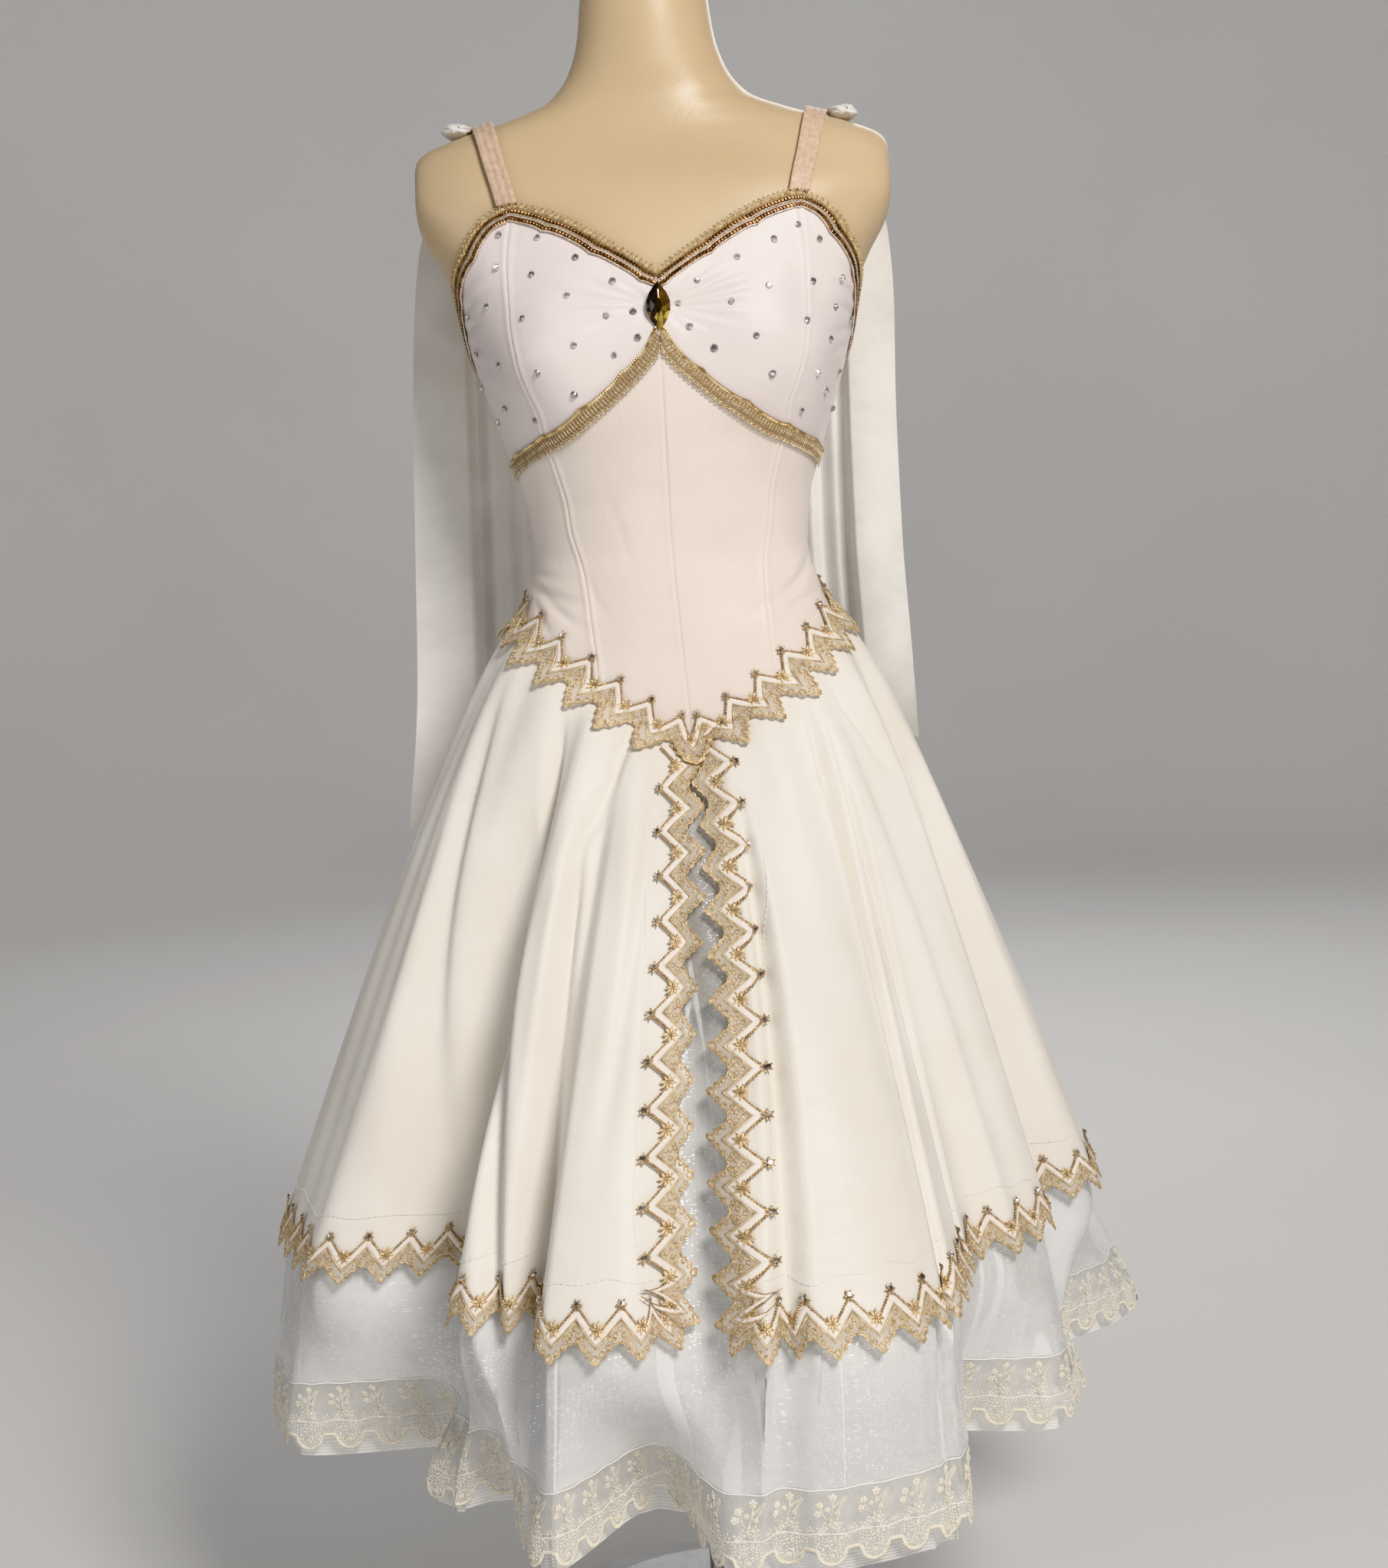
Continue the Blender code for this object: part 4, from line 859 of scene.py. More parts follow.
# name, node, inner and outer seam, lower and upper line, rows, columns
bodicePanels = [
    ("cup_satin", "cup", "centre", "princess", underbust, neckline, 72, 90),
    ("cup_side_satin", "cup_side", "princess", "side", underbust, neckline, 72, 54),
    ("bodice_satin_front", "bodice_front", "centre", "princess", basque, underbust, 84, 64),
    ("bodice_satin_side", "bodice_side_front", "princess", "side", basque, underbust, 84, 64),
    ("bodice_satin_back", "bodice_back", "side", "back", basque, neckline, 84, 64),
]


def addPanels(name, side):
    seams = {
        "centre": leanAt,
        "princess": lambda height: princess(side, height),
        "side": constant(side * 90.0),
        "back": constant(side * 180.0),
    }
    for piece, node, inner, outer, lower, upper, rows, columns in bodicePanels:
        start, end = (seams[seam] for seam in (inner, outer)[::side])
        slot = "cup" if piece.startswith("cup") else "bodice"
        material = cupSatin if slot == "cup" else bodiceSatin
        up = np.linspace(0, 1, rows)[:, None]
        points = onBodice(*between(start, end, lower, upper, up, columns, 1.0, 8))
        declare(addSheet(f"{piece}_{name}", points, material), [f"{node}_{name}"])


for name, side in sides.items():
    addPanels(name, side)
print("bodice made")

# the shoulder straps: elastic with three raised ribs
strap = {
    "centre": 1.270, "ease": 0.003, "width": 0.0175, "cut": 0.45, "wall": 0.0014, "ribRise": 0.0005, "ribs": 3,
    "rows": 110, "columns": 19,
}
# turn over the shoulder in degrees, 0 straight up and negative to the front, and distance from the middle
strapRows = np.array([(-91.5, 0.119), (-50, 0.131), (0, 0.141), (60, 0.138), (145, 0.113), (158, 0.109)])


def shoulderHit(x, turn, ease):
    # the place on the torso that a line from the shoulder's centre reaches
    x, turn, ease = np.broadcast_arrays(x, turn, ease)
    dy, dz = np.sin(np.radians(turn)), np.cos(np.radians(turn))
    inside, outside = np.zeros(x.shape), np.full(x.shape, 0.3)
    for _ in range(28):
        middle = (inside + outside) / 2
        y, z = middle * dy, strap["centre"] + middle * dz
        radius = torsoRadius(np.degrees(np.arctan2(x, -y)), z)
        within = (z < torsoRows[-1, 0]) & (np.hypot(x, y) < radius)
        inside, outside = np.where(within, middle, inside), np.where(within, outside, middle)
    return stacked(x, (inside + ease) * dy, strap["centre"] + (inside + ease) * dz)


def addStraps():
    up = np.linspace(strapRows[0, 0], strapRows[-1, 0], strap["rows"])[:, None]
    across = np.linspace(-0.5, 0.5, strap["columns"])[None, :]
    ribs = strap["ribRise"] * (0.5 + 0.5 * np.cos(2 * math.pi * strap["ribs"] * (across + 0.5) + math.pi))
    for name, side in sides.items():
        x = side * smoothValue(*strapRows.T, up) + across * strap["width"]
        points = shoulderHit(x, up, strap["ease"] + strap["wall"] + ribs)
        made = addSheet(f"strap_elastic_{name}", points, strapElastic, strap["wall"])
        declare(made, [f"strap_{name}"])


addStraps()
print("straps made")

# the skirts: three layers that share their folds
layers = {"satinWall": 0.0012, "sheerWall": 0.001, "gap": 0.0022, "spread": 0.006, "reach": 0.40}
smallWaves = {"wide": 0.0022, "narrow": 0.0007, "start": 0.25}
sheerLook = {"closed": 0.57, "overHips": 0.5, "hips": 0.585, "hipsBlend": 0.045, "leastFacing": 0.22}
# the valleys that drift sideways on their way down: azimuth and height at the top, then at the hem, width, depth
skirtCreases = [
    (-65, 0.905, -51.5, 0.44, 0.018, 0.013), (-44, 0.880, -28, 0.44, 0.013, 0.016),
    (-27, 0.790, -23.3, 0.42, 0.014, 0.018), (-16, 0.855, -27, 0.75, 0.008, 0.004),
    (-9, 0.800, -13, 0.56, 0.011, 0.004), (16.5, 0.815, 8.5, 0.43, 0.013, 0.016),
    (46, 0.880, 29, 0.44, 0.009, 0.013), (48, 0.850, 39.5, 0.45, 0.007, 0.007),
    (56, 0.870, 62, 0.80, 0.007, 0.004), (79, 0.840, 77.5, 0.44, 0.013, 0.010),
    (-88, 0.900, -86, 0.44, 0.012, 0.008), (104, 0.900, 109, 0.44, 0.013, 0.010),
    (133, 0.905, 136, 0.44, 0.010, 0.008), (158, 0.905, 168, 0.44, 0.012, 0.010),
    (-164, 0.905, -170, 0.44, 0.011, 0.009), (-140, 0.905, -134, 0.44, 0.012, 0.009),
    (-113, 0.900, -104, 0.44, 0.010, 0.008),
]


def layerDepth(azimuth, height, layer):
    spacing = eased((basque(azimuth) - height) / layers["reach"])
    walls = layers["satinWall"] * layer + layers["sheerWall"] * max(layer - 1, 0)
    return walls + layer * (layers["gap"] + layers["spread"] * spacing)


def creaseDepth(azimuth, height, radius):
    total = np.zeros(np.broadcast(azimuth, height).shape)
    for start, top, end, bottom, width, depth in skirtCreases:
        share = (top - height) / (top - bottom)
        line = start + (end - start) * np.clip(share, 0, 1.2)
        distance = np.radians(wrapped(azimuth - line)) * radius
        fading = eased((1.3 - share) / 0.5) if bottom > 0.5 else 1 - 0.5 * eased((share - 1) / 0.3)
        shape = creaseShape(distance, width * (0.45 + 0.55 * np.clip(share, 0, 1)))
        total += depth * eased(share / 0.3) * fading * shape
    return total


def smallFolds(azimuth, height):
    # soft secondary waves, between the seam's gathers and the hem's folds
    turn, seam = np.radians(azimuth), basque(azimuth)
    share = np.clip((seam - height) / (seam - skirt["satinTips"]), 0, 1.4)
    first = np.sin(19 * turn + 1.8 * np.sin(4 * turn + 0.6) + 1.1 * share)
    second = np.sin(41 * turn + 2.3 * np.sin(5 * turn) - 1.6 * share)
    waves = smallWaves["wide"] * first + smallWaves["narrow"] * second * (1.3 - 0.6 * np.minimum(share, 1))
    return np.minimum(share / smallWaves["start"], 1) * waves


def skirtCloth(azimuth, height):
    points = skirtPoint(azimuth, height)
    lift = smallFolds(azimuth, height) - creaseDepth(azimuth, height, np.linalg.norm(points[..., :2], axis=-1))
    return points + atPolar(azimuth, lift, 0.0)


def onSkirt(azimuth, height, lift=0.0, layer=0):
    return movedOut(skirtCloth, azimuth, height, lift - layerDepth(azimuth, height, layer), 1.2)


def skirtPanel(start, end, top, bottom, rows, columns, layer=0, power=1.0):
    # from one edge to the other, and from the seam to the hem with its rows closer towards the seam
    up = 1 - np.linspace(1, 0, rows)[:, None] ** power
    seam = lambda place: basque(place) - top
    azimuth, height = between(start, end, constant(bottom), seam, up, columns, 0.6, 6)
    return onSkirt(azimuth, height, 0.0, layer)


def addDensity(made, points, closed):
    # how closed a sheer cloth looks: more on the flanks of folds, where one looks along it
    normal = np.cross(np.gradient(points, axis=1), np.gradient(points, axis=0))
    normal /= np.maximum(np.linalg.norm(normal, axis=-1, keepdims=True), 1e-12)
    out = points * np.array([1, 1, 0])
    out /= np.maximum(np.linalg.norm(out, axis=-1, keepdims=True), 1e-9)
    facing = np.clip(np.abs((normal * out).sum(axis=-1)), sheerLook["leastFacing"], 1)
    density = 1 - (1 - np.asarray(closed)) ** (1 / facing)
    data = made.data.attributes.new("closeness", "FLOAT", "POINT").data
    data.foreach_set("value", np.ascontiguousarray(density, dtype=np.float32).ravel())


quarters = {
    "front_left": (constant(-90.0), lambda height: splitEdge(-1, height)),
    "front_right": (lambda height: splitEdge(1, height), constant(90.0)),
    "back_left": (constant(-180.0), constant(-90.0)),
    "back_right": (constant(90.0), constant(180.0)),
}
for name, (start, end) in quarters.items():
    points = skirtPanel(start, end, 0.0, skirt["satinEdge"], 72, 165, power=1.35)
    made = addSheet(f"overskirt_satin_{name}", points, skirtSatin, layers["satinWall"])
    declare(made, [f"overskirt_{name}"])
print("overskirt made")

halves = {"front": (-90.0, 90.0), "back": (90.0, 270.0)}
# kind, node, layer, distance below the seam, hem, material
sheers = [
    ("tulle", "tulle", 1, 0.022, skirt["borderTop"], sparkleTulle),
    ("net", "petticoat", 2, 0.040, skirt["netEdge"], stiffNet),
]
for kind, node, layer, top, bottom, material in sheers:
    for name, ends in halves.items():
        points = skirtPanel(*map(constant, ends), top, bottom, 56, 220, layer)
        made = addSheet(f"{kind}_skirt_{name}", points, material)
        # finer over the hips, where the form shows through
        hips = eased((points[..., 2] - sheerLook["hips"]) / sheerLook["hipsBlend"])
        addDensity(made, points, sheerLook["closed"] * (1 - sheerLook["overHips"] * hips))
        declare(made, [f"{node}_{name}"])
print("tulle and net made")

# the gold zigzag lace: one tooth, in millimetres, with its tip in the middle and its peaks at both ends
zigzag = {
    "pitch": 33.0, "width": 40.0, "tip": 0.5, "notch": 13.0, "peak": 38.0, "valley": 20.0,
    "cordLow": 10.5, "cordHigh": 28.0, "beads": 11,
}
edgeRings = [(3.4, 15.6), (7.6, 11.6), (11.7, 7.6)]
middle = zigzag["pitch"] / 2


def bothWays(points):
    return points + [(zigzag["pitch"] - x, y) for x, y in reversed(points[:-1])]


def slanted(low, high, steps):
    # a line from a peak down to the middle and up again
    return bothWays([(middle * i / steps, high + (low - high) * i / steps) for i in range(steps + 1)])


def scallopLine():
    # the outer cord, round each ring and in between them
    points = [(0.0, zigzag["notch"] + 1.0)]
    for (x, y), (nextX, nextY) in zip(edgeRings, edgeRings[1:] + [(middle, 3.7)]):
        points += [(x - 1.7, y - 2.1), ((x + nextX) / 2 - 0.7, (y + nextY) / 2 - 0.8)]
    return bothWays(points + [(middle - 2.6, 1.9), (middle, zigzag["tip"])])


def toothGold():
    # the thin cords and the rings of the edge
    shapes = [
        tube(slanted(zigzag["cordLow"], zigzag["cordHigh"], 3), 0.75),
        tube(scallopLine(), 0.8),
        ring(middle, 4.1, 2.3, 0.75, lift=0.3),
        ring(0, 23.2, 1.5, 0.55, 6, 3, 0.2),
        *flower(middle, zigzag["valley"] + 2.0, 8, 6.4, 2.4, 0.7, 1.3, 10),
    ]
    for x, y in edgeRings + [(2.9, 19.3), (6.6, 17.0)]:
        shapes += [ring(place, y, 1.55, 0.6, 6, 4, 0.2) for place in (x, zigzag["pitch"] - x)]
    return shapes


def toothRope():
    # beads along the zigzag, a star at each peak and a bead in each flower
    shapes = flower(0, zigzag["peak"] - 0.6, 6, 4.6, 2.0, 0.5, 1.0, 30)
    shapes.append(dome(middle, zigzag["valley"] + 2.0, 1.5, 2.2, 6, 0.7))
    for share in np.arange(1, zigzag["beads"]) / zigzag["beads"]:
        y = zigzag["peak"] - 1 + (zigzag["valley"] - zigzag["peak"]) * share
        shapes += [dome(x, y, 1.2, 1.5, 5, 0.1) for x in (middle * share, zigzag["pitch"] - middle * share)]
    return shapes


def toothSatin():
    gap = (zigzag["peak"] - zigzag["cordHigh"]) / 2
    return [strip(slanted(zigzag["valley"] - gap, zigzag["peak"] - gap, 4), 4.2, 0.05, 0.8)]


def toothNet():
    # the ground between the outer cord and the inner one
    x = np.linspace(0, zigzag["pitch"], 15)
    edges = scallopLine(), slanted(zigzag["valley"] - 3, zigzag["peak"] - 3, 4)
    return [netBetween(x, *(np.interp(x, *np.array(edge).T) for edge in edges), 4)]


laceParts = [
    ("gold", toothGold(), goldCord),
    ("rope", toothRope(), bronzeCord),
    ("satin", toothSatin(), laceSatin),
    ("net", toothNet(), laceNet),
    ("stones", [cutStone(0, zigzag["peak"], 2.4, 2.1, 7, 0.9)], smokyCrystal),
]


def addLace(name, guidePoints, repeats, nodes):
    for part, shapes, material in laceParts:
        made = bendMotif(f"{name}_{part}", shapes, guidePoints, repeats, zigzag, material, part != "stones")
        declare(made, nodes if part == "gold" else ())


def evenly(points, count):
    # the places along a run of points, as shares of it, that cut it into equal lengths
    along = alongPath(points)
    return np.interp(np.linspace(0, along[-1], count), along, np.linspace(0, 1, len(points)))


def mitred(along, up, reach=0.046):
    # how far a row of the lace is drawn in from a corner, more for the rows further from its tips
    return along + up * np.clip(1 - along / reach, 0, 1)


def rowsOf(motif, rows):
    return np.linspace(0, 1, rows)[:, None] * motif["width"] / 1000


def hemGuide():
    height, up = skirt["satinEdge"], rowsOf(zigzag, 5)
    start, end = float(fromSplit(1, 0.0, height)), 360 + float(fromSplit(-1, 0.0, height))
    azimuths = np.linspace(start, end, 1600)
    length = alongPath(onSkirt(azimuths, np.full(azimuths.shape, height)))
    repeats = round(length[-1] / (zigzag["pitch"] / 1000))
    along = np.linspace(0, length[-1], repeats * 8 + 1)[None, :]
    along = np.where(along < length[-1] / 2, mitred(along, up), length[-1] - mitred(length[-1] - along, up))
    return onSkirt(np.interp(along, length, azimuths), skirt["satinTips"] + up, 0.0016), repeats


edge = {"aboveLeft": 0.022, "aboveRight": 0.0385, "ease": 1.03, "lift": 0.0034, "liftRight": 0.0004, "tuck": 0.0016}


def edgeGuide(side):
    # tips towards the split, meshing at the top; the run goes down the +X side and up the -X side
    tall = split["top"] + edge["aboveLeft" if side < 0 else "aboveRight"] - skirt["satinTips"]
    repeats = round(tall * edge["ease"] / (zigzag["pitch"] / 1000))
    distance = rowsOf(zigzag, 5)
    heights = skirt["satinTips"] + mitred(np.linspace(0, tall, repeats * 8 + 1)[None, ::-side], distance)
    mesh = 0.0045 * eased((heights - 0.62) / 0.12) + 0.0035 * eased((heights - 0.765) / 0.02)
    lift = edge["lift"] + edge["liftRight"] * (side > 0) - edge["tuck"] * eased((heights - 0.797) / 0.012)
    return onSkirt(fromSplit(side, distance - mesh, heights), heights, lift), repeats


def besideLine(line, azimuth, distance, step):
    # the azimuth and height a distance off a line, square to it along the cloth
    height = line(azimuth)
    radius = torsoRadius(azimuth, height)
    rise = line(azimuth + step) - line(azimuth - step)
    run = math.radians(2 * step) * radius
    length = np.hypot(rise, run)
    return azimuth - np.degrees(rise / length * distance / radius), height + run / length * distance


seamLace = {"repeats": 26, "below": -0.019, "above": 0.021, "lift": 0.0024, "skirtLift": 0.0030, "skirtBlend": 0.012}


def basqueGuide():
    repeats, plain = seamLace["repeats"], np.linspace(0, 360, 2400)
    azimuths = plain + basqueLean(plain)
    # half a tooth on from the front, so that a tip and no seam of the run lies in the middle
    share = np.roll(evenly(torsoPoint(azimuths, basque(azimuths)), repeats * 16 + 1)[:-1], 8)[::2]
    place = np.interp(np.append(share, share[0]), np.linspace(0, 1, len(azimuths)), azimuths)
    place = np.where(np.arange(len(place)) < 4, place - 360, place)
    distance = np.linspace(seamLace["below"], seamLace["above"], 7)[:, None]
    azimuth, height = besideLine(basque, place[None, :], distance, 1.5)
    onTop = movedOut(torsoPoint, azimuth, height, bodice["ease"] + seamLace["lift"])
    lower = eased(-distance / seamLace["skirtBlend"])
    below = onSkirt(azimuth, height, seamLace["lift"] + seamLace["skirtLift"] * lower)
    return np.where((height >= basque(azimuth))[..., None], onTop, below), repeats


addLace("hem_lace", *hemGuide(), [f"hem_lace_{name}" for name in quarters])
for name, side in sides.items():
    addLace(f"edge_lace_{name}", *edgeGuide(side), [f"edge_lace_{name}"])
addLace("basque_lace", *basqueGuide(), ["basque_lace_front", "basque_lace_back"])
print("zigzag lace made")

# sequinned gimp: one short repeat, in millimetres, its inner edge along y = 0
gimp = {
    "pitch": 9.0, "width": 15.5, "drop": 0.002, "arch": 45.0, "archRise": 0.0018, "discSides": 7,
    "necklineLift": 0.0052, "underbustLift": 0.0056,
}


def sequin(x, y, radius, lift, tilt):
    # a cupped disc with a bead in its middle
    sides, lean = gimp["discSides"], math.tan(math.radians(tilt))
    outer = [(east, north, lift + 0.35 + (north - y) * lean) for east, north, _ in circle(x, y, radius, sides, 0)]
    inner = circle(x, y, radius * 0.45, sides, lift + 0.75)
    disc = (outer + inner, [*gridFaces(2, sides, True), list(range(sides, 2 * sides))])
    return [disc, dome(x, y, radius * 0.28, 0.6, 4, lift + 0.75)]


def sequinRow(count, start, pitch, y, radius, tilt):
    return [shape for i in range(count) for shape in sequin(start + pitch * i, y, radius, 0.5, tilt)]


def archLoop(x, y, width, height, thick, steps=6):
    turns = np.linspace(0, math.pi, steps + 1)
    return tube([(x - width / 2 * math.cos(turn), y + height * math.sin(turn), 0.3) for turn in turns], thick, 3)


def cordLine(y, step, lift, thick, sides=3):
    # a cord along the trim that weaves a little from side to side
    return tube([(i * 1.5, y + step * (i % 2), lift) for i in range(7)], thick, sides)


def necklineLoops():
    shapes = []
    for x in (2.25, 6.75):
        shapes += [archLoop(x, 8.8, 4.6, 5.9, 0.62), archLoop(x, 8.8, 2.6, 3.9, 0.55, 5)]
        shapes.append(dome(x, 11.2, 1.1, 1.1, 4, 0.2))
    return shapes


def underbustLoops():
    places = (0.0, 3.0, 6.0)
    shapes = [tube([(x + 1.5, 3.6, 0.3), (x + 1.5, 7.6, 0.9), (x + 1.5, 11.6, 0.3)], 0.42, 3) for x in places]
    shapes += [ring(x, 7.4, 1.05, 0.35, 6, 3, 0.5) for x in places]
    shapes += [cordLine(y, 0.3, 0.3, 0.45) for y in (11.8, 3.7)]
    for x in (2.25, 6.75):
        shapes += [archLoop(x, 3.8, 4.4, -3.4, 0.5), dome(x, 2.1, 0.8, 0.8, 4, 0.2)]
    return shapes


def gimpNet(low, high):
    return [netBetween(np.linspace(0, gimp["pitch"], 5), low, high, 4, 0.15)]


# pale rings between the sequins, and the corded inner edge
paleRings = [ring(0.75 + 1.5 * i, 4.75, 1.0, 0.42, 5, 3, 0.5, 1.3) for i in range(6)]
necklineSequins = sequinRow(3, 1.5, 3.0, 1.9, 1.75, 8) + sequinRow(3, 1.5, 3.0, 7.6, 1.5, -8)
gimpParts = {
    "neckline": [
        ("sequins", necklineSequins, bronzeSequin),
        ("loops", necklineLoops(), goldCord),
        ("braid", [*paleRings, cordLine(0.1, 0.25, 0.2, 0.75, 4)], paleBraid),
        ("ground", gimpNet(0.4, 10.4), gimpGround),
    ],
    "underbust": [
        ("sequins", sequinRow(4, 1.1, 2.25, 13.4, 1.35, 8), goldSequin),
        ("loops", underbustLoops(), paleGoldCord),
        ("ground", gimpNet(2.4, 14.6), gimpGround),
    ],
}


def gimpGuide(lift, line, inner, outer, side, archSide):
    # across the trim from its lower edge to its upper one; archSide -1 arches the lower edge, 1 the upper
    azimuths = np.linspace(*sorted((side * inner, side * outer)), 1400)
    points = torsoPoint(azimuths, line(azimuths))
    repeats = round(alongPath(points)[-1] / (gimp["pitch"] / 1000))
    azimuth = azimuths[0] + (azimuths[-1] - azimuths[0]) * evenly(points, repeats * 5 + 1)
    point = np.abs((np.linspace(0, repeats * gimp["pitch"], len(azimuth)) / gimp["arch"]) % 1 - 0.5) * 2
    across = np.linspace(0, 1, 4)[:, None]
    arch = gimp["archRise"] * (point**4 - 0.35) * (1 - across if archSide < 0 else across)
    offset = (across - 0.5) * gimp["width"] / 1000 - gimp["drop"] + archSide * arch
    azimuth, height = besideLine(line, azimuth[None, :], offset, 1.0)
    return movedOut(torsoPoint, side * np.maximum(side * azimuth, 0.15), height, lift), repeats


def addGimp(kind, name, nodes, *course):
    guidePoints, repeats = gimpGuide(gimp[f"{kind}Lift"], *course)
    for part, shapes, material in gimpParts[kind]:
        piece = f"{kind}_gimp_{name}_{part}"
        made = bendMotif(piece, shapes, guidePoints, repeats, gimp, material, part != "sequins")
        declare(made, nodes if part == "loops" else ())


for name, side in sides.items():
    addGimp("neckline", name, ["neckline_trim"], neckline, 0.2, 179.9, side, -1)
    addGimp("underbust", name, [f"underbust_trim_{name}"], underbust, 0.3, 89.8, side, 1)
print("gimp made")

# the stone at the front: a pointed oval of four rings, each with its size, share of the depth and turn in steps
gemRings = [(1.0, 0.0, 0.0), (1.0, 0.14, 0.0), (0.70, 0.66, 0.5), (0.34, 1.0, 0.0)]


def addGem():
    count = gem["sides"]
    place = np.array([0, -(torsoRadius(0.0, gem["place"]) + gem["ease"]), gem["place"]])
    points = []
    for size, depth, shift in gemRings:
        turn = (np.arange(count) + 0.5 + shift) * 2 * math.pi / count
        across = size * (1 - np.sin(turn) ** 2) * np.sign(np.cos(turn)) * gem["width"] / 2
        points.append(place + stacked(across, -depth * gem["depth"], size * np.sin(turn) * gem["height"] / 2))
    faces = [face[::-1] for face in gridFaces(2, count, True)]
    # the two rings of facets cut their squares across opposite corners
    for low, cuts in ((1, ((0, 2, 1), (1, 2, 3))), (2, ((0, 2, 3), (0, 3, 1)))):
        for i in range(count):
            corners = [row * count + (i + step) % count for row in (low, low + 1) for step in (0, 1)]
            faces += [[corners[corner] for corner in cut] for cut in cuts]
    faces += [list(range(3 * count, 4 * count))[::-1], list(range(count))]
    made = addPiece("front_stone", points, faces, gemDark, smooth=False)
    shape = bmesh.new()
    shape.from_mesh(made.data)
    bmesh.ops.recalc_face_normals(shape, faces=shape.faces)
    shape.to_mesh(made.data)
    shape.free()
    for material in (gemAmberReflection, gemGoldReflection):
        made.data.materials.append(material)
    # painted reflections: amber and yellow facets on the right and low on the left, the rest dark
    for face in made.data.polygons:
        x, _, z = face.center - Vector(place)
        if x > 0.0006 or (z < -0.009 and x > -0.002):
            face.material_index = 2 if z < -0.002 and face.index % 3 else 1
        elif z < -0.006 and face.index % 4 == 0:
            face.material_index = 1
    declare(made, ["gem"])


addGem()

# the embroidered border of the tulle: one scallop, in millimetres, its lowest point in the middle
border = {"pitch": 33.0, "width": 60.0, "lobe": 12.0, "depth": 12.0, "seed": 4}
centre = border["pitch"] / 2


def scallopEdge(x):
    across = np.clip(np.abs(x - centre) / border["lobe"], 0, 1)
    return border["depth"] * (1 - np.sqrt(1 - across**2)) + 0.5


def tuft(x, y, size, turn):
    return [petal(x, y, turn + way, 0.2, size, size * 0.5, 0.1, 0.8) for way in (0, 120, 240)]


def blossom(x, y, radius, turn):
    return [*flower(x, y, 5, radius, radius * 0.78, 0.2, 1.0, turn), dome(x, y, radius * 0.3, 0.8, 5, 0.8)]


def fern(start, end, bars, size):
    start, end = np.array(start), np.array(end)
    turn = math.degrees(math.atan2(*(end - start)))
    shapes = [tube([start, end], 0.4, 3)]
    for share in np.linspace(0.08, 1, bars):
        x, y = start + (end - start) * share
        shapes += [petal(x, y, turn + way, 0, size * (1.15 - 0.6 * share), 1.2, 0.1, 0.6) for way in (-75, 75)]
    return shapes


def scallopBraid():
    # a ribbon along the scallop with stitches across it, evenly spaced
    x = np.linspace(0, border["pitch"], 400)
    place = border["pitch"] * evenly(stacked(x, scallopEdge(x)), 26)
    spots = stacked(place, scallopEdge(place))
    inward = besidePath(spots)
    ends = zip(spots[:-1] + inward[:-1] * 0.3, spots[:-1] + inward[:-1] * 3.4)
    return [strip(spots + inward * 1.8, 2.6, 0.0, 0.3)] + [tube(pair, 0.62, 3) for pair in ends]


# on the net above the ring, x from the middle: leaf tufts with their turn, stems with their thickness,
# blossoms with their radius and turn
leafTufts = [
    (-7, 27.5, -60), (-5, 30, -25), (-3.2, 32.5, -40), (2.8, 31, 20), (4.6, 28.5, 50), (6.4, 31.5, 35),
    (4.4, 34.5, 10), (0.6, 34, -5), (7.2, 27, 75), (-9, 29.5, -50),
]
stems = [
    ([(0, 25), (-0.6, 31), (-0.4, 37), (1.8, 43), (2.2, 50)], 0.65),
    ([(-1.2, 34), (-4.6, 38), (-7.2, 44)], 0.6),
]
blossoms = [
    (2.2, 52.6, 3.5, 0), (-7.8, 47.6, 3.1, 20), (-9.8, 41.4, 3.0, 50), (-2.4, 44.0, 2.4, 10), (5.0, 40.4, 2.4, 30),
]


def borderThread():
    random = np.random.default_rng(border["seed"])
    shapes = scallopBraid() + [ring(centre, 9.0, 3.6, 0.6, 10, 3, 0.3, 1.2), *blossom(centre, 8.8, 2.5, 0)]
    for row, y in enumerate((8.6, 12.6, 16.8, 20.8, 24.4)):
        for x in np.arange(1.6 + 2 * (row % 2), border["pitch"] - 1, 4.5):
            if y > scallopEdge(x) + 4.6 and math.hypot(x - centre, (y - 9.0) / 1.2) > 5.4:
                loose = [random.uniform(*ends) for ends in ((-0.5, 0.5), (-0.6, 0.6), (2.1, 3.0), (0, 90))]
                shapes += tuft(x + loose[0], y + loose[1], *loose[2:])
    for x, y, turn in leafTufts:
        shapes += tuft(centre + x, y, 2.9, turn)
    shapes += tuft(0.8, 29.5, 2.8, 0) + tuft(border["pitch"] - 2.4, 28.6, 2.4, 20)
    shapes += [tube([(centre + x, y) for x, y in points], thick, 3) for points, thick in stems]
    for x, *rest in blossoms:
        shapes += blossom(centre + x, *rest)
    return shapes + fern((centre + 3.6, 43.2), (centre + 11.6, 52.0), 7, 3.1)


def borderLines():
    # two bands of ribbon, each with its height, wave, width and crown
    x = np.linspace(0, border["pitch"], 9)
    wave = np.sin(x / border["pitch"] * 2 * math.pi)
    bands = ((25.6, 1.2, 0.9, 0.5), (58.8, 0.4, 1.15, 0.6))
    return [strip(stacked(x, y + swing * wave), width, 0.2, crown) for y, swing, width, crown in bands]


def borderGuide(start, end):
    azimuths = np.linspace(start, end, 1600)
    line = onSkirt(azimuths, np.full(azimuths.shape, skirt["tulleTips"] + 0.02), 0.0, 1)
    repeats = round(alongPath(line)[-1] / (border["pitch"] / 1000))
    azimuth = start + (end - start) * evenly(line, repeats * 8 + 1)
    return onSkirt(azimuth[None, :], skirt["tulleTips"] + rowsOf(border, 7), 0.0, 1), repeats


